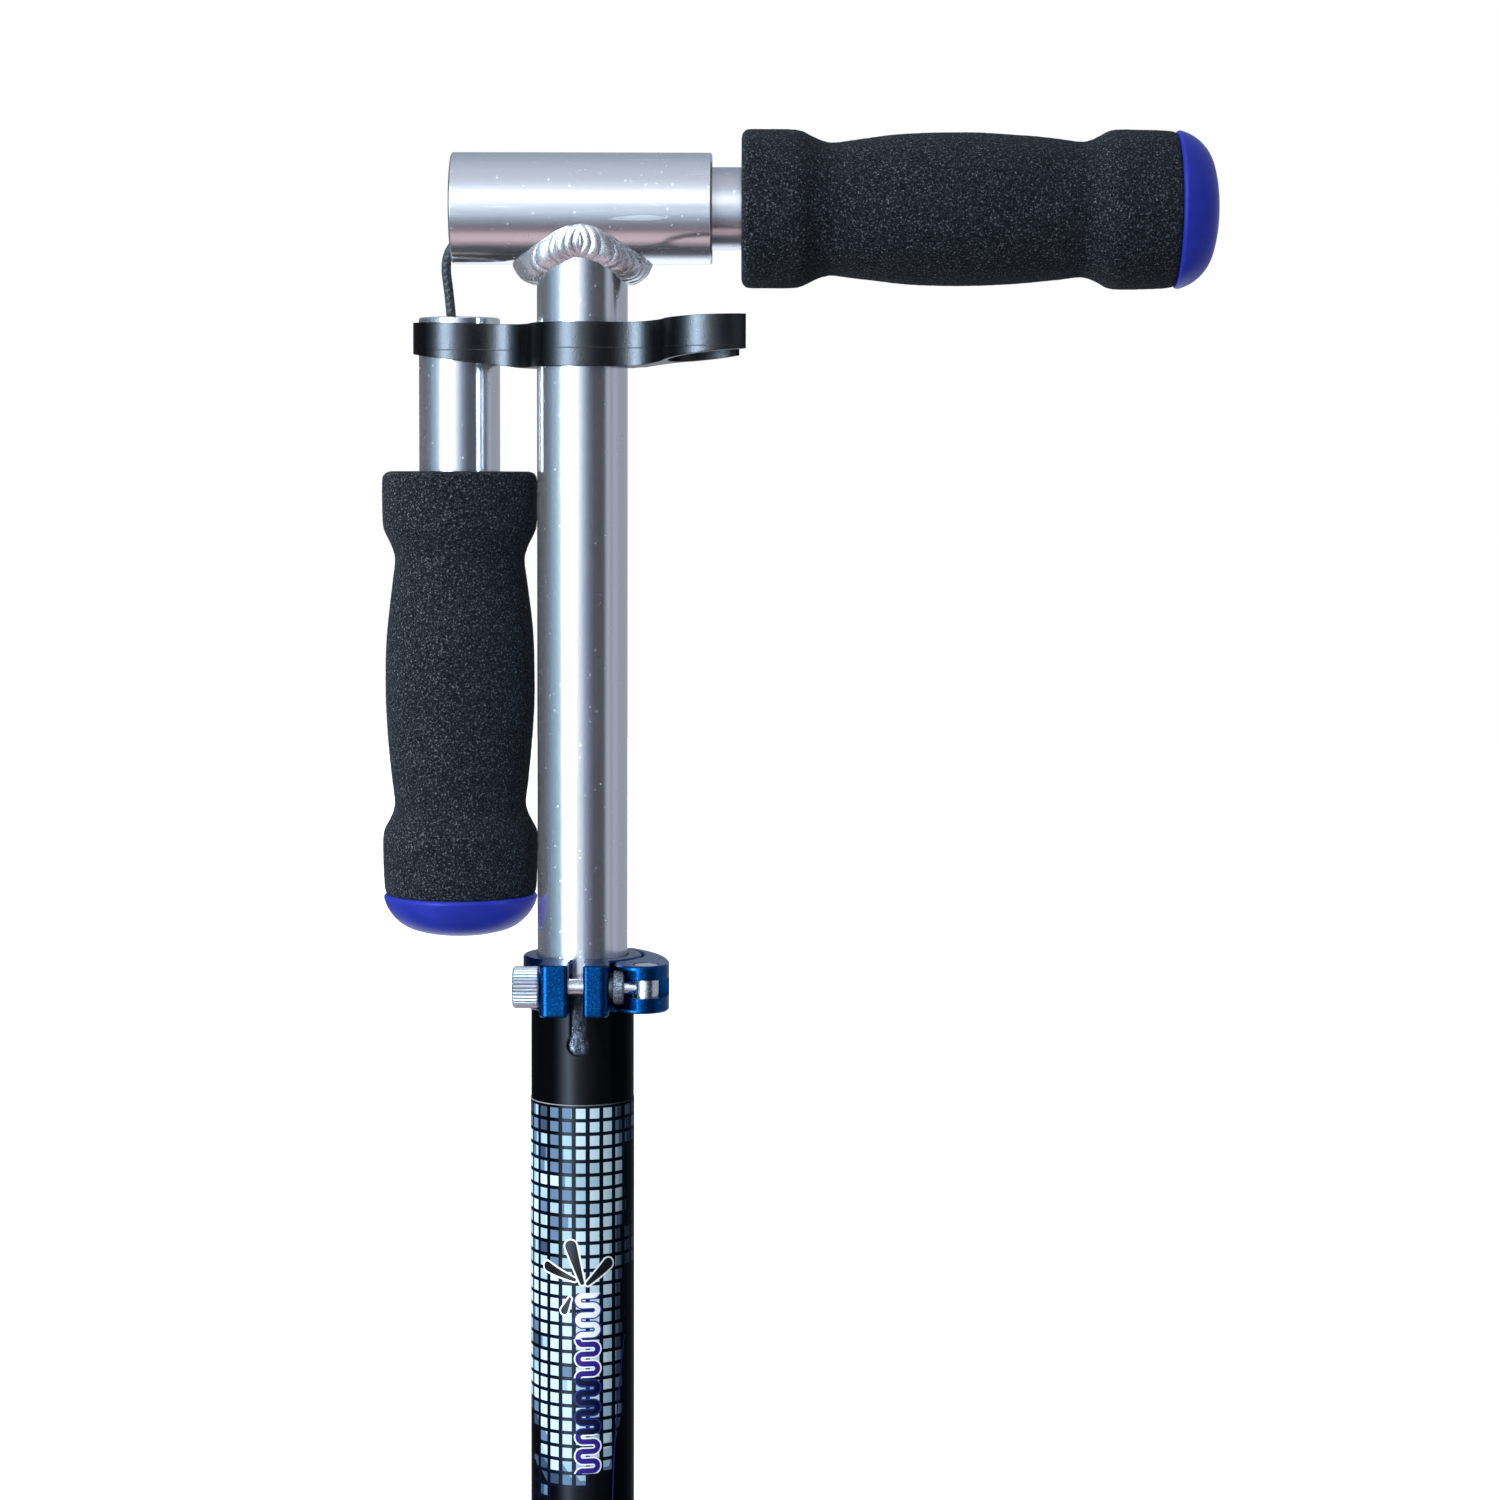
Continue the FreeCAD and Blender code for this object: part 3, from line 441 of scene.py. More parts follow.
def printed_squares(s, angle, across, height):
    """The grid: each square is light, dim or missing, mostly missing on the +X side and low down, and darker
    far round on the -X side as painted shade.
    """
    counted_from = s.maths("ADD", across, GRID_SIDE_START + COLUMNS_ADDED * GRID_ACROSS)
    column = s.maths("DIVIDE", counted_from, GRID_ACROSS)
    row = s.maths("DIVIDE", s.maths("SUBTRACT", WRAP_TOP - GRID_TOP_START, height), GRID_DOWN)
    column_number = s.maths("FLOOR", column)
    row_number = s.maths("FLOOR", row)
    in_column = s.maths("LESS_THAN", s.maths("FRACT", column), SQUARE_ACROSS)
    in_row = s.maths("LESS_THAN", s.maths("FRACT", row), SQUARE_DOWN)
    below_top = s.maths("GREATER_THAN", row, 0.0)
    in_square = s.maths("MULTIPLY", s.maths("MULTIPLY", in_column, in_row), below_top)
    spot_across = s.maths("MULTIPLY", column_number, CLUSTER_ACROSS)
    spot_down = s.maths("MULTIPLY", row_number, CLUSTER_DOWN)
    spot = s.joined(spot_across, spot_down, CLUSTER_PLACE)
    cluster = s.noise(spot, 1.0, detail=0.0)
    number = s.joined(column_number, row_number)
    single = s.add("ShaderNodeTexWhiteNoise", {"Vector": number}).outputs["Value"]
    differs = s.maths("MULTIPLY", s.maths("SUBTRACT", single, 0.5), SQUARE_SPREAD)
    shade = s.maths("MAXIMUM", s.maths("ADD", cluster, differs), SQUARE_DARKEST)
    fades = [(angle, fade) for fade in FADES_AND_PAINTED_SHADE_ROUND] + [(height, FADE_LOW)]
    for value, (start, full, change) in fades:
        shade = s.maths("ADD", shade, s.spread(value, start, full, 0.0, change))
    square_colour = s.ramp(
        shade,
        [
            (0.0, INK),
            (0.24, rgb(0.030, 0.055, 0.10)),
            (0.32, rgb(0.085, 0.15, 0.25)),
            (0.40, rgb(0.26, 0.41, 0.52)),
            (0.48, rgb(0.42, 0.58, 0.67)),
        ],
        "CONSTANT",
    )
    ground = s.blend(s.spread(cluster, 0.35, 0.6), INK, rgb(0.0015, 0.004, 0.014))
    return s.blend(in_square, ground, square_colour)


def printed_wrap():
    s = Shader("printed_wrap")
    place = s.place()
    xyz = s.split(place)
    angle = s.maths("ARCTAN2", xyz["X"], s.maths("MULTIPLY", xyz["Y"], -1.0))
    across = s.maths("MULTIPLY", angle, OUTER_R)
    height = xyz["Z"]
    colour = printed_squares(s, angle, across, height)
    # thin light line along the wrap's upper edge, fading towards +X
    line = s.maths("GREATER_THAN", height, WRAP_TOP - TOP_LINE)
    line = s.maths("MULTIPLY", line, s.spread(angle, -0.4, 0.9, 0.55, 0.08))
    colour = s.blend(line, colour, rgb(0.45, 0.5, 0.52))
    for shape in DROPS:
        away = drop(s, across, height, *shape)
        colour = s.blend(s.maths("LESS_THAN", away, DROP_OUTLINE), colour, PAPER_WHITE)
        colour = s.blend(s.maths("LESS_THAN", away, -DROP_OUTLINE), colour, rgb(0.008, 0.009, 0.012))
    away = wave(s, across, height)
    for top, bottom, edge, core in WAVE:
        below = s.maths("LESS_THAN", height, top * MM)
        inside = s.maths("MULTIPLY", below, s.maths("GREATER_THAN", height, bottom * MM))
        outline = s.maths("MULTIPLY", inside, s.maths("LESS_THAN", away, WAVE_OUTLINE))
        filling = s.maths("MULTIPLY", inside, s.maths("LESS_THAN", away, WAVE_CORE))
        colour = s.blend(outline, colour, edge)
        colour = s.blend(filling, colour, core)
    # a thin blue curve low on the +X side
    above = s.maths("SUBTRACT", height, CURVE_HEIGHT)
    bend = s.maths("MULTIPLY", s.maths("MULTIPLY", above, above), CURVE_BEND)
    off_curve = s.maths("ABSOLUTE", s.maths("SUBTRACT", across, s.maths("ADD", bend, CURVE_ACROSS)))
    thin = s.maths("LESS_THAN", off_curve, CURVE_HALF_WIDTH)
    thin = s.maths("MULTIPLY", thin, s.maths("LESS_THAN", height, CURVE_TOP))
    colour = s.blend(thin, colour, rgb(0.03, 0.025, 0.22))
    roughness, normal = tube_paint(s, place)
    return s.surface(
        bump=normal,
        Base_Color=colour,
        Roughness=roughness,
        Specular_IOR_Level=s.face_on(*PAINT_GLOSS),
    )


def steel(name, tone, low, high, grain_scale, depth):
    """Plain steel with a grain of a given size and depth."""
    s = Shader(name)
    place = s.place()
    grain = s.noise(place, grain_scale, detail=4.0, roughness=0.65)
    colour = s.blend(s.spread(grain, 0.3, 0.7), rgb(*[c * 0.72 for c in tone]), rgb(*tone))
    normal = s.bump(grain, depth, strength=0.8, normal=s.worn_edge(0.3 * MM))
    roughness = s.spread(grain, 0.3, 0.7, low, high)
    return s.surface(bump=normal, Base_Color=colour, Metallic=1.0, Roughness=roughness)


def knurled_steel():
    """The nut: bright ridges along it, with the grooves between them darkened as painted shade."""
    s = Shader("knurled_steel")
    place = s.place()
    xyz = s.split(place)
    up = s.maths("SUBTRACT", xyz["Z"], NUT_Z)
    back = s.maths("SUBTRACT", xyz["Y"], NUT_Y)
    ridge = s.maths("COSINE", s.maths("MULTIPLY", s.maths("ARCTAN2", up, back), NUT_RIDGES))
    fine = s.noise(place, 1500.0, detail=4.0, roughness=0.65)
    ragged = s.maths("MULTIPLY", s.maths("SUBTRACT", fine, 0.5), 0.9)
    # painted shade: the grooves between the ridges are darkened in the colour
    groove_shade = s.spread(s.maths("ADD", ridge, ragged), -0.1, -0.8)
    colour = s.blend(groove_shade, rgb(0.86, 0.89, 0.92), rgb(0.20, 0.23, 0.27))
    normal = s.bump(fine, 0.02 * MM, strength=0.8, normal=s.worn_edge(0.2 * MM))
    roughness = s.spread(fine, 0.3, 0.7, 0.26, 0.38)
    return s.surface(bump=normal, Base_Color=colour, Metallic=1.0, Roughness=roughness)


def cast_grey():
    """Sintered washer: grey with dark pores."""
    s = Shader("grey_steel")
    place = s.place()
    pores = s.noise(place, 2100.0, detail=4.0, roughness=0.7)
    colour = s.ramp(
        pores,
        [
            (0.40, rgb(0.020, 0.024, 0.030)),
            (0.50, rgb(0.105, 0.13, 0.165)),
            (0.62, rgb(0.30, 0.36, 0.43)),
        ],
    )
    normal = s.bump(pores, 0.12 * MM, strength=0.8, normal=s.worn_edge(0.4 * MM))
    roughness = s.spread(pores, 0.3, 0.7, 0.55, 0.38)
    return s.surface(bump=normal, Base_Color=colour, Metallic=0.6, Roughness=roughness)


def oily_grey():
    """The shim seen through the slit: grey, smeared with grease and flecked, and darker higher up the slit
    with painted shade, where its flecks also fade.
    """
    s = Shader("shim_grey")
    place = s.place()
    smear = s.noise(s.scaled(place, (900.0, 900.0, 260.0)), 1.0, detail=4.0, roughness=0.65)
    fleck = s.spread(s.noise(place, 3200.0, detail=2.0), 0.60, 0.72)
    base = s.ramp(
        smear,
        [
            (0.38, rgb(0.008, 0.009, 0.012)),
            (0.52, rgb(0.05, 0.058, 0.075)),
            (0.68, rgb(0.18, 0.21, 0.26)),
        ],
    )
    # painted shade: the shim darkens towards the top of the slit, and its flecks fade there
    painted_shade = s.spread(s.split(place)["Z"], SHIM_SHADE_START_Z, SHIM_SHADE_FULL_Z, 0.0, 0.72)
    base = s.blend(painted_shade, base, rgb(0.010, 0.012, 0.018))
    fleck = s.maths("MULTIPLY", fleck, s.maths("SUBTRACT", 0.75, s.maths("MULTIPLY", painted_shade, 0.7)))
    colour = s.blend(fleck, base, rgb(0.85, 0.9, 0.95))
    normal = s.bump(smear, 0.12 * MM, strength=0.7)
    roughness = s.spread(smear, 0.3, 0.7, 0.42, 0.26)
    return s.surface(bump=normal, Base_Color=colour, Metallic=0.85, Roughness=roughness)


def moulded_black(name, parting):
    """Black moulded plastic with a spark-eroded grain, and a parting line at one height if it's given."""
    s = Shader(name)
    place = s.place()
    grain = s.noise(place, 2300.0, detail=3.0, roughness=0.55)
    speck = s.cells(place, 2600.0)
    height = s.maths("ADD", grain, s.maths("MULTIPLY", speck, 0.4))
    if parting is not None:
        off = s.maths("ABSOLUTE", s.maths("SUBTRACT", s.split(place)["Z"], parting))
        height = s.maths("ADD", height, s.maths("MULTIPLY", s.spread(off, 0.16 * MM, 0.05 * MM), 1.4))
    colour = s.blend(s.spread(grain, 0.35, 0.65), rgb(0.0012, 0.0014, 0.002), rgb(0.0035, 0.004, 0.005))
    normal = s.bump(height, 0.09 * MM, strength=0.6, normal=s.worn_edge(0.6 * MM))
    return s.surface(
        bump=normal,
        Base_Color=colour,
        Roughness=s.spread(grain, 0.3, 0.7, 0.27, 0.35),
        Specular_IOR_Level=s.face_on(1.0, start=0.08, end=0.34),
    )


def blue_plastic():
    """Glossy coloured cap: smooth, with a faint flow mottle and fine dust marks, and a painted glow in its
    own colour that lightens its shaded side.
    """
    s = Shader("blue_plastic")
    place = s.place()
    flow = s.noise(place, 120.0, detail=3.0)
    colour = s.blend(s.spread(flow, 0.3, 0.7), rgb(0.0085, 0.016, 0.175), rgb(0.012, 0.020, 0.215))
    fine = s.noise(place, 3000.0, detail=2.0)
    normal = s.bump(fine, 0.01 * MM, strength=0.4, normal=s.worn_edge(0.5 * MM))
    return s.surface(
        bump=normal,
        Base_Color=colour,
        Roughness=s.spread(fine, 0.3, 0.7, 0.30, 0.38),
        Specular_IOR_Level=0.16,
        # painted glow: the cap gives off light in its own colour, which evens out its shading
        Emission_Color=colour,
        Emission_Strength=0.62,
    )


def foam_rubber():
    """Closed-cell foam: black, with pin-prick cells that catch the light."""
    s = Shader("foam")
    place = s.place()
    grain = s.noise(place, 1550.0, detail=3.0, roughness=0.75)
    cell = s.cells(place, 2200.0)
    speck = s.maths("SUBTRACT", grain, s.maths("MULTIPLY", cell, 0.16))
    colour = s.ramp(
        speck,
        [
            (0.34, rgb(0.0028, 0.0038, 0.0052)),
            (0.44, rgb(0.0088, 0.0116, 0.0160)),
            (0.52, rgb(0.0270, 0.0330, 0.0425)),
            (0.61, rgb(0.1250, 0.1450, 0.1750)),
        ],
    )
    height = s.maths("ADD", s.maths("MULTIPLY", cell, -0.5), grain)
    normal = s.bump(height, 0.30 * MM, strength=0.8)
    return s.surface(
        bump=normal,
        Base_Color=colour,
        Roughness=s.spread(cell, 0.0, 0.6, 0.78, 0.95),
        Specular_IOR_Level=0.12,
        Sheen_Weight=0.02,
        Sheen_Roughness=0.5,
    )


def braided_cord():
    """Black braid with a slight sheen on its threads."""
    s = Shader("braided_cord")
    place = s.place()
    fibre = s.noise(s.scaled(place, (5200.0, 5200.0, 1500.0)), 1.0, detail=3.0, roughness=0.6)
    colour = s.blend(s.spread(fibre, 0.35, 0.7), rgb(0.010, 0.012, 0.014), rgb(0.045, 0.055, 0.062))
    normal = s.bump(fibre, 0.05 * MM, strength=0.7)
    return s.surface(bump=normal, Base_Color=colour, Roughness=0.55, Sheen_Weight=0.2, Sheen_Roughness=0.4)


def dress(material, *names):
    """Gives CAD nodes a material in their own slots."""
    for name in names:
        node = NODES[name]
        if not node.material_slots:
            node.data.materials.append(material)
        for slot in node.material_slots:
            slot.material = material


# --------------------------------------------------------------------- meshes


def mesh_piece(name, points, faces, material):
    mesh = bpy.data.meshes.new(name)
    mesh.from_pydata([tuple(p) for p in points], [], faces)
    mesh.validate()
    mesh.shade_smooth()
    mesh.materials.append(material)
    piece = bpy.data.objects.new(name, mesh)
    bpy.context.scene.collection.objects.link(piece)
    return piece


def grid_faces(rows, columns, close_rows, close_columns, flip=False):
    """Quads between rows of points, which may join up at either end."""
    faces = []
    for i in range(rows if close_rows else rows - 1):
        for j in range(columns if close_columns else columns - 1):
            k, m = (i + 1) % rows, (j + 1) % columns
            quad = (i * columns + j, k * columns + j, k * columns + m, i * columns + m)
            faces.append(quad[::-1] if flip else quad)
    return faces


def smooth_line(knots, spacing):
    """Points on a Catmull-Rom curve through 2-D knots, about one spacing apart."""
    knots = [Vector(k) for k in knots]
    padded = [2 * knots[0] - knots[1], *knots, 2 * knots[-1] - knots[-2]]
    points = []
    for a, b, c, d in zip(padded, padded[1:], padded[2:], padded[3:]):
        steps = max(2, round((c - b).length / spacing))
        for i in range(steps):
            t = i / steps
            square_term = (2 * a - 5 * b + 4 * c - d) * t**2
            cube_term = (3 * b - a - 3 * c + d) * t**3
            points.append(0.5 * (2 * b + (c - a) * t + square_term + cube_term))
    points.append(knots[-1])
    return points


# Foam grip: (distance from its inner end, radius), in millimetres
FOAM_OUTLINE = [
    (0.0, 21.7),
    (0.35, 22.9),
    (1.1, 23.8),
    (2.6, 24.3),
    (9.0, 24.35),
    (15.5, 24.25),
    (18.6, 23.75),
    (21.8, 22.2),
    (25.0, 20.9),
    (28.5, 20.4),
    (36.0, 21.35),
    (50.0, 22.95),
    (66.2, 23.5),
    (82.0, 22.95),
    (96.8, 21.6),
    (103.8, 20.7),
    (107.2, 21.2),
    (110.2, 22.6),
    (112.6, 23.9),
    (115.6, 24.45),
    (121.5, 24.45),
    (128.0, 24.25),
    (131.8, 23.9),
    (133.0, 23.5),
    (133.4, 22.8),
]
FOAM_BORE_R = 12.75
FOAM_RINGS = 0.62
FOAM_ROUND = 250
FOAM_CELL = 1.1 * MM
FOAM_CELL_DEPTH = 0.10 * MM
FOAM_DENT = 13.0 * MM
FOAM_DENT_DEPTH = 0.16 * MM
FOAM_DENT_LEVEL = 0.3
FOAM_END_RINGS = 8
FOAM_BORE_RINGS = 20
# How far along the noise each grip's skin is taken, so that the two differ
FOAM_SKIN_PLACE = {"right": 0.0, "left": 37.0}


def foam_grip(side, material):
    """A turned foam sleeve, closed all round, with small cells and shallow dents in its skin."""
    name = f"{side}_foam_grip"
    low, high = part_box(name)
    centre = (low + high) / 2
    if side == "right":
        to_place = Matrix.Translation((low.x, centre.y, centre.z))
    else:
        to_place = Matrix.Translation((centre.x, centre.y, high.z)) @ Matrix.Rotation(math.pi / 2, 4, "Y")
    outline = smooth_line(FOAM_OUTLINE, FOAM_RINGS)
    length = FOAM_OUTLINE[-1][0]
    last_r = FOAM_OUTLINE[-1][1]
    first_r = FOAM_OUTLINE[0][1]
    end_face = [Vector((length, r)) for r in np.linspace(last_r, FOAM_BORE_R, FOAM_END_RINGS)[1:]]
    bore = [Vector((x, FOAM_BORE_R)) for x in np.linspace(length, 0.0, FOAM_BORE_RINGS)[1:-1]]
    start_face = [Vector((0.0, r)) for r in np.linspace(FOAM_BORE_R, first_r, FOAM_END_RINGS)[:-1]]
    loop = [*outline, *end_face, *bore, *start_face]
    shift = Vector((0.0, 0.0, FOAM_SKIN_PLACE[side]))
    points = []
    for i, (x, r) in enumerate(loop):
        on_skin = 0 < i < len(outline) - 1
        for j in range(FOAM_ROUND):
            a = 2 * math.pi * j / FOAM_ROUND
            ray = Vector((0.0, math.cos(a), math.sin(a)))
            spot = Vector((x * MM, 0, 0)) + ray * (r * MM)
            if on_skin:
                fine = noise.noise(spot / FOAM_CELL + shift)
                coarse = noise.noise(spot / FOAM_DENT + shift)
                spot += ray * (fine * FOAM_CELL_DEPTH + (coarse - FOAM_DENT_LEVEL) * FOAM_DENT_DEPTH)
            points.append(to_place @ spot)
    faces = grid_faces(len(loop), FOAM_ROUND, True, True, flip=True)
    piece = mesh_piece(f"{side}_foam", points, faces, material)
    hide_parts(name)
    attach(piece, f"{side}_grip")


# Weld bead round the joint of stem and sleeve
BEAD_STEPS = 900
BEAD_ACROSS = 26
BEAD_DOWN_STEM = 6.3 * MM
BEAD_UP_SLEEVE_FRONT = 4.6 * MM
BEAD_OUT_SLEEVE_SIDE = 7.4 * MM
BEAD_CROWN = 1.75 * MM
BEAD_SCALES = 34
BEAD_SCALE_STEP = 0.50 * MM
BEAD_SCALE_BOW = 0.9
BEAD_FOOT = 0.35 * MM
# How much the bead's width varies, and how often round the joint
BEAD_UNEVEN = 0.10
BEAD_UNEVEN_RATE = 5
BEAD_ARCH_POWER = 0.62
# Each scale is highest part of the way along it and falls away on both sides
BEAD_SCALE_SKEW = 0.7
BEAD_SCALE_FALL = 2.2
BEAD_SEED = 7
# Widths and heights of the scales against the average: the least, and how much they vary above it
BEAD_WIDTH_LEAST = 0.65
BEAD_WIDTH_VARIES = 0.7
BEAD_HEIGHT_LEAST = 0.75
BEAD_HEIGHT_VARIES = 0.5


def bead_scale_places(count):
    """Where each overlapping scale of the bead begins, as parts of a turn, unevenly spaced."""
    dice = random.Random(BEAD_SEED)
    widths = [BEAD_WIDTH_LEAST + BEAD_WIDTH_VARIES * dice.random() for _ in range(count)]
    total = sum(widths)
    places = [0.0]
    for width in widths[:-1]:
        places.append(places[-1] + width / total)
    heights = [BEAD_HEIGHT_LEAST + BEAD_HEIGHT_VARIES * dice.random() for _ in range(count)]
    return places, heights


def weld_bead(material):
    """A saddle of overlapping scales, from the stem's wall to the sleeve's."""
    places, heights = bead_scale_places(BEAD_SCALES)
    starts = np.array(places + [1.0])
    points = []
    for i in range(BEAD_STEPS):
        turn = i / BEAD_STEPS
        a = 2 * math.pi * turn
        out = Vector((math.cos(a), math.sin(a), 0.0))
        side = abs(out.x)
        spot_round = Vector((BEAD_UNEVEN_RATE * math.cos(a), BEAD_UNEVEN_RATE * math.sin(a), 0.0))
        uneven = 1.0 + BEAD_UNEVEN * noise.noise(spot_round)
        seam = out * STEM_R
        drop = math.sqrt(SLEEVE_R**2 - seam.y**2)
        foot = seam + Vector((0, 0, SLEEVE_Z - drop - BEAD_DOWN_STEM * uneven)) - out * BEAD_FOOT
        # the upper edge lies on the sleeve, as far from the seam as the weld is wide there
        reach = BEAD_UP_SLEEVE_FRONT + (BEAD_OUT_SLEEVE_SIDE - BEAD_UP_SLEEVE_FRONT) * side**2
        roll = math.asin(seam.y / SLEEVE_R) + math.copysign(reach / SLEEVE_R, seam.y) * (1 - side**2) * uneven
        x = seam.x + math.copysign(reach * side**1.5, seam.x) * uneven
        inner = SLEEVE_R - BEAD_FOOT
        rim = Vector((x, inner * math.sin(roll), SLEEVE_Z - inner * math.cos(roll)))
        chord = rim - foot
        along_seam = Vector((-out.y, out.x, 0.0))
        proud = chord.cross(along_seam).normalized()
        if proud.dot(out) < 0:
            proud = -proud
        for j in range(BEAD_ACROSS):
            t = j / (BEAD_ACROSS - 1)
            bow = BEAD_SCALE_BOW / BEAD_SCALES * (1 - (2 * t - 1) ** 2)
            # on each half of the ring the scales run up from the side to the front or the back
            phase = (turn + bow * math.copysign(1.0, math.sin(2 * a))) % 1.0
            k = int(np.searchsorted(starts, phase, side="right")) - 1
            within = (phase - starts[k]) / (starts[k + 1] - starts[k])
            if math.sin(2 * a) < 0:
                within = 1 - within
            arch = math.sin(math.pi * t) ** BEAD_ARCH_POWER
            off_peak = abs((1 + BEAD_SCALE_SKEW) * within - BEAD_SCALE_SKEW)
            scale = heights[k] * BEAD_SCALE_STEP * (1.0 - off_peak**BEAD_SCALE_FALL - 0.5)
            points.append(foot + chord * t + proud * (arch * (BEAD_CROWN + scale)))
    faces = grid_faces(BEAD_STEPS, BEAD_ACROSS, True, False)
    # a hidden face closes the bead behind, between its two feet
    last = BEAD_ACROSS - 1
    for i in range(BEAD_STEPS):
        k = (i + 1) % BEAD_STEPS
        faces.append((i * BEAD_ACROSS + last, k * BEAD_ACROSS + last, k * BEAD_ACROSS, i * BEAD_ACROSS))
    piece = mesh_piece("weld_ripples", points, faces, material)
    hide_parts("weld_bead")
    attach(piece, "tbar")


# Shock cord: the route's points, in millimetres, from inside the right grip to inside the left one
CORD_ROUTE = [
    (158.0, 0.0, 610.8),
    (-16.1, 4.3, 604.1),
    (-44.0, 5.0, 603.0),
    (-40.95, 11.69, 577.0),
    (-40.7, 13.0, 549.3),
    (-39.55, 19.29, 421.0),
]
CORD_CURVE_STEPS = 60
CORD_SAME_PLACE = 1 * MM
CORD_ROUND = 56
CORD_FINE_STEP = 0.22 * MM
CORD_COARSE_STEP = 2.5 * MM
CORD_SHOWN_FROM = Vector((-30.0, 5.0, 603.0)) * MM
CORD_SHOWN_WITHIN = 48.0 * MM
CORD_INNER_R = 1.0 * MM
CORD_UPPER_END = 546.0 * MM
CORD_LOWER_START = 562.0 * MM
BRAID_STRANDS = 8
BRAID_PITCH = 8.5 * MM
BRAID_DEPTH = 0.17 * MM
# How far a strand rises over the one it crosses, and the relief that lies at the cord's radius
BRAID_CROSSING = 0.35
BRAID_LEVEL = 0.9


def cord_centres():
    """Points along the cord's NURBS spline, close together where the cord shows."""
    curve = bpy.data.curves.new("cord_route", "CURVE")
    curve.dimensions = "3D"
    spline = curve.splines.new("NURBS")
    spline.points.add(len(CORD_ROUTE) - 1)
    for point, place in zip(spline.points, CORD_ROUTE):
        point.co = (*(Vector(place) * MM), 1.0)
    spline.order_u = 3
    spline.use_endpoint_u = True
    spline.resolution_u = CORD_CURVE_STEPS
    holder = bpy.data.objects.new("cord_route", curve)
    bpy.context.scene.collection.objects.link(holder)
    bpy.context.view_layer.update()
    mesh = bpy.data.meshes.new_from_object(holder.evaluated_get(bpy.context.evaluated_depsgraph_get()))
    line = np.array([v.co for v in mesh.vertices])
    bpy.data.objects.remove(holder)
    bpy.data.curves.remove(curve)
    bpy.data.meshes.remove(mesh)
    if np.linalg.norm(line[0] - np.array(CORD_ROUTE[0]) * MM) > CORD_SAME_PLACE:
        line = line[::-1]
    run = np.concatenate([[0.0], np.cumsum(np.linalg.norm(np.diff(line, axis=0), axis=1))])
    places = [0.0]
    while places[-1] < run[-1]:
        here = Vector([np.interp(places[-1], run, line[:, k]) for k in range(3)])
        shown = (here - CORD_SHOWN_FROM).length < CORD_SHOWN_WITHIN
        places.append(places[-1] + (CORD_FINE_STEP if shown else CORD_COARSE_STEP))
    places[-1] = run[-1]
    centres = [Vector([np.interp(p, run, line[:, k]) for k in range(3)]) for p in places]
    return centres, places


def braided_tube(name, centres, places, radius, material):
    """A braided tube: two families of strands wound both ways over and under each other."""
    points = []
    across = Vector((0.0, 1.0, 0.0))
    for i, (centre, place) in enumerate(zip(centres, places)):
        ahead = centres[min(i + 1, len(centres) - 1)] - centres[max(i - 1, 0)]
        ahead.normalize()
        across = (across - ahead * across.dot(ahead)).normalized()
        up = ahead.cross(across)
        twist = 2 * math.pi * place / BRAID_PITCH
        for j in range(CORD_ROUND):
            a = 2 * math.pi * j / CORD_ROUND
            one = math.cos(BRAID_STRANDS / 2 * (a + twist))
            other = math.cos(BRAID_STRANDS / 2 * (a - twist))
            weave = math.sin(BRAID_STRANDS / 4 * (a + twist)) * math.sin(BRAID_STRANDS / 4 * (a - twist))
            relief = max(one + BRAID_CROSSING * weave, other - BRAID_CROSSING * weave)
            reach = radius + BRAID_DEPTH * (relief - BRAID_LEVEL)
            points.append(centre + (across * math.cos(a) + up * math.sin(a)) * reach)
    faces = grid_faces(len(centres), CORD_ROUND, False, True)
    faces.append(tuple(range(CORD_ROUND)))
    last = (len(centres) - 1) * CORD_ROUND
    faces.append(tuple(last + j for j in reversed(range(CORD_ROUND))))
    return mesh_piece(name, points, faces, material)


def shock_cord(material):
    """The cord in two pieces. The lower one slides with the left grip, inside the upper one's end."""
    centres, places = cord_centres()
    upper_end = centres.index(centres_at(centres, CORD_UPPER_END)) + 1
    lower_start = centres.index(centres_at(centres, CORD_LOWER_START))
    upper = braided_tube("shock_cord", centres[:upper_end], places[:upper_end], CORD_R, material)
    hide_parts("bungee_cord")
    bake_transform(upper)
    inner = centres[lower_start:]
    lower = braided_tube("shock_cord_lower", inner, places[lower_start:], CORD_INNER_R, material)
    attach(lower, "left_grip")


def centres_at(centres, height):
    """The last centre of the cord at or above a height."""
    return [c for c in centres if c.z >= height][-1]


# ---------------------------------------------------------------- surroundings


def degrees_stops(pairs):
    """Ramp stops from (degrees, colour) pairs, with -180 at 0 and 180 at 1."""
    return [((degrees + 180) / 360, rgb(*colour)) for degrees, colour in pairs]


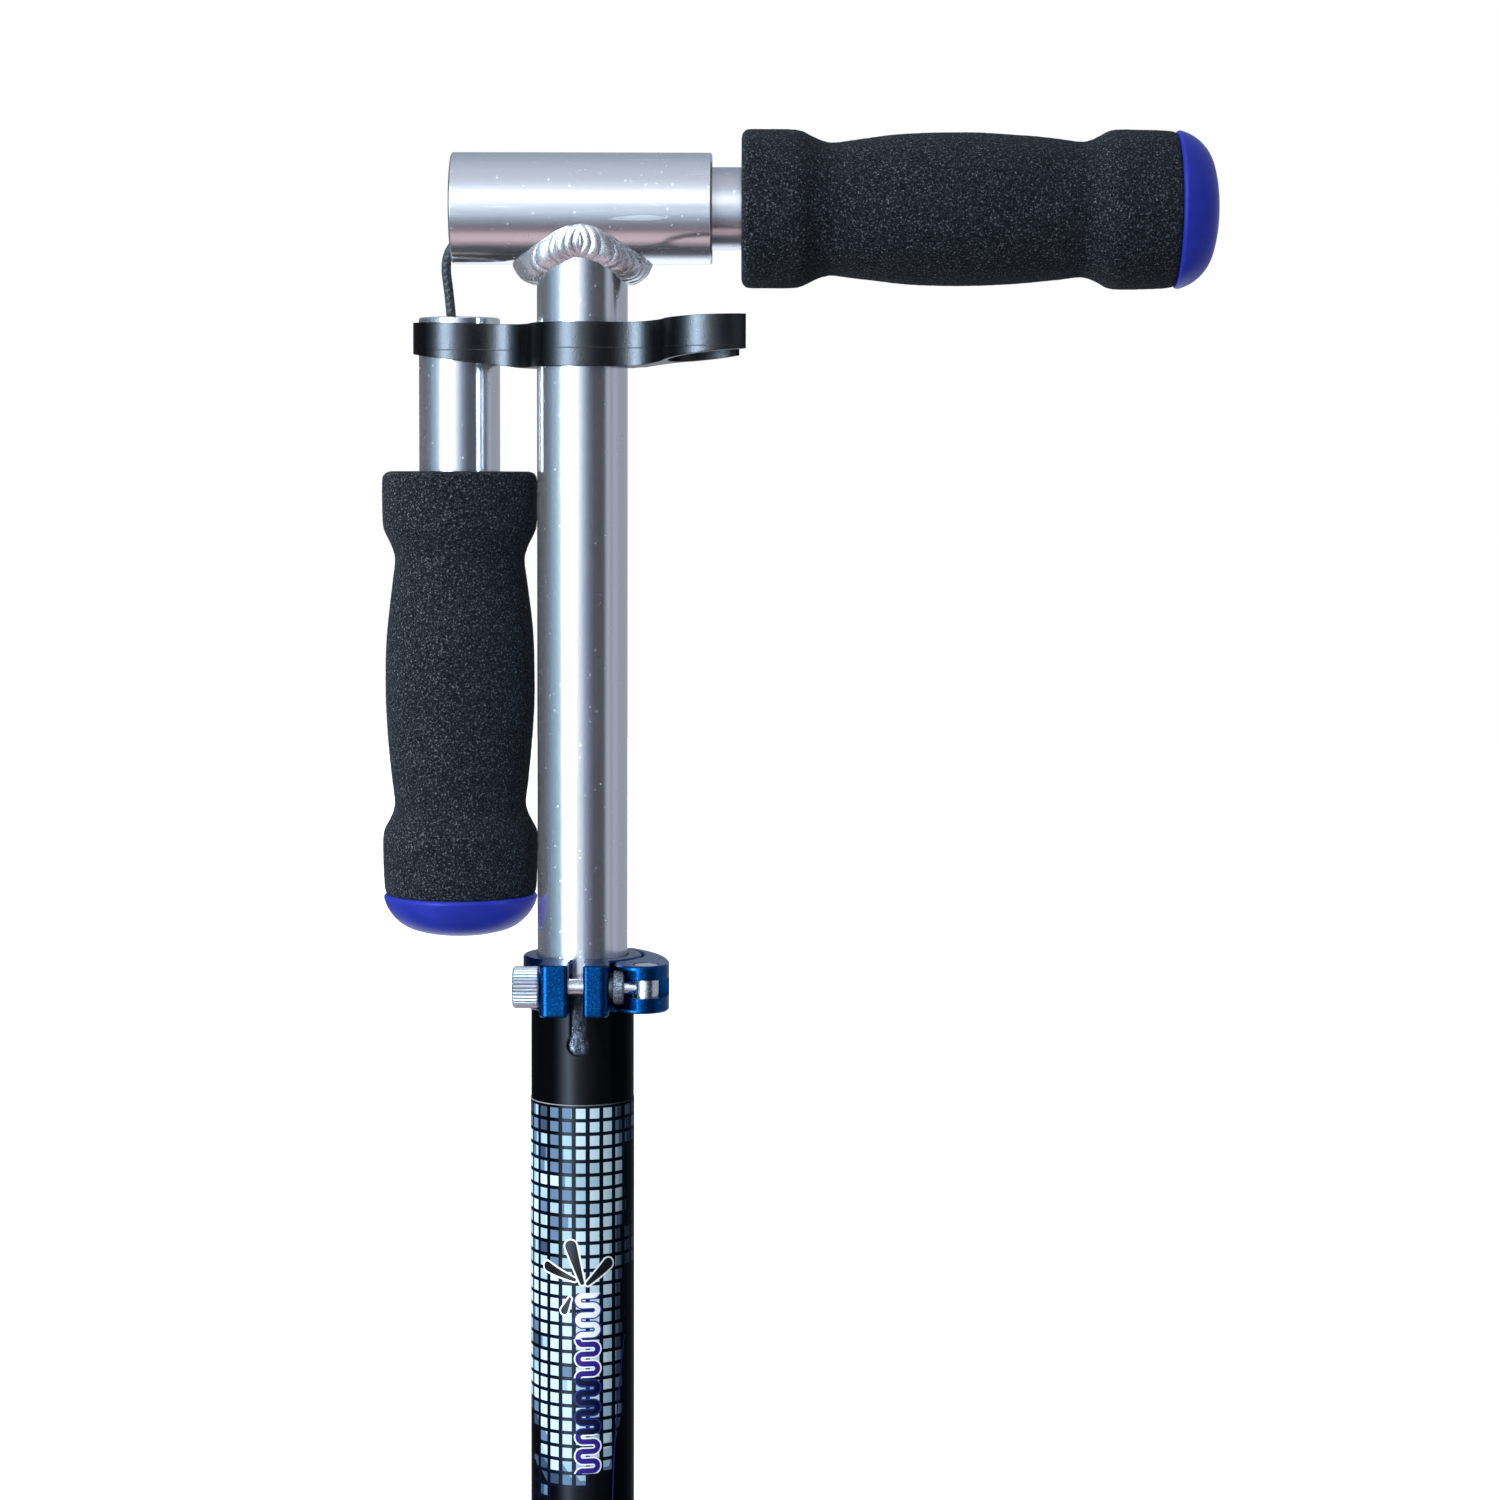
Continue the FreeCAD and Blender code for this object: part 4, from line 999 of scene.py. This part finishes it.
# What polished metal sees: round the horizon, from the front at 0 towards +X
ROUND_HORIZON = [
    (-180, (0.16, 0.16, 0.19)),
    (-114, (0.05, 0.055, 0.07)),
    (-101, (0.045, 0.070, 0.10)),
    (-89, (0.075, 0.135, 0.19)),
    (-79, (0.16, 0.29, 0.39)),
    (-69, (0.25, 0.42, 0.58)),
    (-60, (0.45, 0.60, 0.74)),
    (-52, (0.85, 0.96, 1.05)),
    (-46, (1.30, 1.32, 1.34)),
    (-14, (1.30, 1.32, 1.34)),
    (-7, (1.00, 1.05, 1.12)),
    (2, (0.54, 0.66, 0.80)),
    (12, (0.20, 0.26, 0.37)),
    (22, (0.085, 0.10, 0.155)),
    (32, (0.036, 0.040, 0.060)),
    (48, (0.034, 0.038, 0.050)),
    (58, (0.050, 0.062, 0.080)),
    (65, (0.30, 0.34, 0.39)),
    (71, (0.46, 0.51, 0.57)),
    (79, (0.30, 0.32, 0.38)),
    (91, (0.42, 0.45, 0.55)),
    (112, (0.33, 0.37, 0.44)),
    (134, (0.34, 0.37, 0.42)),
    (165, (0.38, 0.41, 0.46)),
    (180, (0.34, 0.37, 0.42)),
]
# and over the top, from the front at 0 upwards, with the ground at negative angles
OVER_TOP = [
    (-180, (1.10, 1.18, 1.28)),
    (-134, (1.10, 1.18, 1.28)),
    (-124, (0.50, 0.55, 0.64)),
    (-113, (0.055, 0.06, 0.085)),
    (-90, (0.055, 0.06, 0.08)),
    (-81, (0.34, 0.27, 0.31)),
    (-73, (0.64, 0.49, 0.53)),
    (-60, (0.58, 0.44, 0.48)),
    (-52, (0.24, 0.18, 0.21)),
    (-44, (0.13, 0.11, 0.145)),
    (-33, (0.19, 0.21, 0.26)),
    (-23, (0.33, 0.42, 0.52)),
    (-13, (0.56, 0.67, 0.79)),
    (-5, (0.90, 0.98, 1.06)),
    (2, (1.30, 1.32, 1.34)),
    (28, (1.30, 1.32, 1.34)),
    (36, (0.90, 0.97, 1.06)),
    (44, (0.70, 0.77, 0.88)),
    (60, (0.56, 0.61, 0.71)),
    (88, (0.48, 0.53, 0.62)),
    (120, (0.34, 0.40, 0.48)),
    (150, (0.28, 0.34, 0.42)),
    (180, (0.55, 0.60, 0.70)),
]
# A bright softbox to the left of the camera, in degrees round the horizon and in slope
SOFTBOX_SIDES = (-48, -40, -24, -14)
SOFTBOX_SLOPES = (-0.45, -0.30, 0.55, 0.70)
SOFTBOX_COLOUR = rgb(8.8, 11.8, 15.4)
SOFT_LIGHT_FROM = Vector((-0.66, -0.42, 0.62))
# The bright panel gets narrower towards the ground
PANEL_MIDDLE = -35.0
PANEL_NARROWING = 3.0
PANEL_NEAR = 20.0
PANEL_FAR = 50.0
# The slopes between which the view round the horizon gives way to the view over the top
STEEP_START = 0.45
STEEP_FULL = 1.3
SIDEWAYS_LEAST = 0.1


def window(s, value, edges):
    """1 between the two inner edges and 0 outside the two outer ones."""
    outer_low, inner_low, inner_high, outer_high = edges
    rising = s.spread(value, outer_low, inner_low)
    return s.maths("MULTIPLY", rising, s.spread(value, outer_high, inner_high))


def studio_world():
    """White to the camera, a soft light from the upper left for matt surfaces, and a studio's
    bright and dark panels for glossy ones."""
    world = bpy.data.worlds.new("studio")
    bpy.context.scene.world = world
    world.use_nodes = True
    world.cycles.sampling_method = "NONE"
    tree = world.node_tree
    tree.nodes.clear()
    s = Shader("studio", tree)
    direction = s.add("ShaderNodeTexCoord").outputs["Generated"]
    xyz = s.split(direction)
    front = s.maths("MULTIPLY", xyz["Y"], -1.0)
    round_turn = s.maths("ADD", s.maths("DIVIDE", s.maths("ARCTAN2", xyz["X"], front), 2 * math.pi), 0.5)
    middle = (PANEL_MIDDLE + 180) / 360
    downward = s.maths("MAXIMUM", s.maths("MULTIPLY", xyz["Z"], -PANEL_NARROWING), 0.0)
    off_middle = s.maths("SUBTRACT", round_turn, middle)
    near_middle = s.spread(s.maths("ABSOLUTE", off_middle), PANEL_NEAR / 360, PANEL_FAR / 360, 1.0, 0.0)
    pushed_out = s.maths("MULTIPLY", s.maths("MULTIPLY", off_middle, downward), near_middle)
    narrowed = s.maths("ADD", round_turn, pushed_out)
    over_turn = s.maths("ADD", s.maths("DIVIDE", s.maths("ARCTAN2", xyz["Z"], front), 2 * math.pi), 0.5)
    panels_round = s.ramp(narrowed, degrees_stops(ROUND_HORIZON))
    panels_over = s.ramp(over_turn, degrees_stops(OVER_TOP))
    sideways = s.maths("ADD", s.maths("ABSOLUTE", xyz["X"]), SIDEWAYS_LEAST)
    slope = s.maths("DIVIDE", s.maths("ABSOLUTE", xyz["Z"]), sideways)
    steep = s.spread(slope, STEEP_START, STEEP_FULL)
    panels = s.blend(steep, panels_round, panels_over)
    softbox = s.maths(
        "MULTIPLY",
        window(s, narrowed, [(side + 180) / 360 for side in SOFTBOX_SIDES]),
        window(s, xyz["Z"], SOFTBOX_SLOPES),
    )
    panels = s.blend(softbox, panels, SOFTBOX_COLOUR)
    towards = s.add(
        "ShaderNodeVectorMath", {0: direction, 1: SOFT_LIGHT_FROM.normalized()}, operation="DOT_PRODUCT"
    ).outputs["Value"]
    soft = s.ramp(
        s.spread(towards, -1.0, 1.0),
        [
            (0.0, rgb(0.025, 0.028, 0.035)),
            (0.42, rgb(0.055, 0.062, 0.075)),
            (0.75, rgb(0.66, 0.69, 0.74)),
            (1.0, rgb(2.4, 2.45, 2.5)),
        ],
    )
    rays = s.add("ShaderNodeLightPath").outputs
    colour = s.blend(rays["Is Glossy Ray"], soft, panels)
    colour = s.blend(rays["Is Camera Ray"], colour, rgb(1.0, 1.0, 1.0))
    background = s.add("ShaderNodeBackground", {"Color": colour, "Strength": 1.0})
    output = s.add("ShaderNodeOutputWorld")
    s.feed(output.inputs["Surface"], background.outputs["Background"])


def white_floor():
    """A plain white floor under the column's lower end. It is left out of reflections."""
    s = Shader("white_floor")
    paper = s.noise(s.place(), 60.0, detail=2.0)
    white = s.blend(s.spread(paper, 0.3, 0.7), rgb(0.86, 0.86, 0.86), rgb(0.88, 0.88, 0.88))
    material = s.surface(
        Base_Color=white,
        Roughness=0.9,
        Specular_IOR_Level=0.1,
        Emission_Color=rgb(1, 1, 1),
        Emission_Strength=FLOOR_GLOW,
    )
    mesh = bpy.data.meshes.new("floor")
    z = cad_box[0][2] - FLOOR_GAP
    corners = [(x * FLOOR_HALF, y * FLOOR_HALF, z) for x, y in ((-1, -1), (1, -1), (1, 1), (-1, 1))]
    mesh.from_pydata(corners, [], [(0, 1, 2, 3)])
    mesh.materials.append(material)
    floor = bpy.data.objects.new("floor", mesh)
    bpy.context.scene.collection.objects.link(floor)
    floor.visible_glossy = False
    floor.visible_diffuse = False


def key_light():
    light = bpy.data.lights.new("key", "AREA")
    light.shape = "DISK"
    light.size = KEY_SIZE
    light.energy = KEY_WATTS
    lamp = bpy.data.objects.new("key", light)
    bpy.context.scene.collection.objects.link(lamp)
    lamp.location = KEY_PLACE
    aim = KEY_AIM - lamp.location
    lamp.rotation_euler = aim.to_track_quat("-Z", "Y").to_euler()
    lamp.visible_glossy = False


def camera():
    data = bpy.data.cameras.new("camera")
    data.sensor_width = CAMERA_SENSOR
    data.lens = CAMERA_LENS
    data.shift_y = CAMERA_SHIFT
    data.clip_start = CAMERA_NEAREST
    data.clip_end = CAMERA_FURTHEST
    cam = bpy.data.objects.new("camera", data)
    bpy.context.scene.collection.objects.link(cam)
    level = Matrix.Rotation(math.pi / 2 - CAMERA_DOWN, 4, "X")
    cam.matrix_world = Matrix.Translation(CAMERA_PLACE) @ level @ Matrix.Rotation(CAMERA_ROLL, 4, "Z")
    bpy.context.scene.camera = cam


# --------------------------------------------------------------------- making

camera()
studio_world()
white_floor()
key_light()
bpy.context.scene.view_settings.view_transform = "Standard"

upright_metal = polished_aluminium("Z", "aluminium_upright", TONE_STEM, smooth=0.09)
# the right handle tube's darker tone is painted shade
shaded_level_metal = polished_aluminium("X", "aluminium_level_shaded", TONE_HANDLE_SHADED, smooth=0.17)
sleeve_metal = polished_aluminium("X", "aluminium_sleeve", TONE_STEM, smooth=0.10, worn=SLEEVE_WORN)
# each steel: tone, lowest and highest roughness, scale of its grain and the grain's depth
bright_steel = steel("bright_steel", (0.86, 0.88, 0.90), 0.16, 0.26, 1500.0, 0.02 * MM)
spring_steel = steel("spring_steel", (0.55, 0.56, 0.58), 0.28, 0.40, 1200.0, 0.02 * MM)
black_bolt = steel("black_bolt", (0.030, 0.031, 0.034), 0.32, 0.46, 1800.0, 0.03 * MM)
black_moulding = moulded_black("black_plastic", parting=None)

dress(upright_metal, "stem_tube", "left_handle_tube")
dress(shaded_level_metal, "right_handle_tube")
dress(sleeve_metal, "crossbar_sleeve")
dress(blue_anodised("blue_collar", gain=1.04), "clamp_collar")
dress(blue_anodised("blue_lever", gain=1.35), "clamp_lever")
dress(black_tube(), "outer_tube")
dress(printed_wrap(), "decal_wrap")
dress(bright_steel, "clamp_bolt", "lever_barrel")
dress(knurled_steel(), "knurled_nut")
dress(cast_grey(), "cam_washer")
dress(oily_grey(), "top_shim")
dress(
    spring_steel,
    "height_spring",
    "height_button",
    "left_snap_spring",
    "left_snap_button",
    "right_snap_spring",
    "right_snap_button",
    "left_cord_ferrule",
    "right_cord_ferrule",
)
dress(
    black_moulding,
    "thrust_washer",
    "stem_foot",
    "sleeve_bush_right",
    "sleeve_bush_left",
    "left_cord_guide",
    "right_cord_guide",
)
dress(moulded_black("clip_plastic", parting=CLIP_PARTING_Z), "grip_clip")
dress(blue_plastic(), "left_end_cap", "right_end_cap")
dress(black_bolt, "steerer_bolt_lower", "steerer_bolt_upper", "steerer_nut_lower", "steerer_nut_upper")
dress(moulded_black("black_clamp", parting=None), "steerer_clamp")

foam_material = foam_rubber()
foam_grip("right", foam_material)
foam_grip("left", foam_material)
weld_bead(weld_metal())
shock_cord(braided_cord())
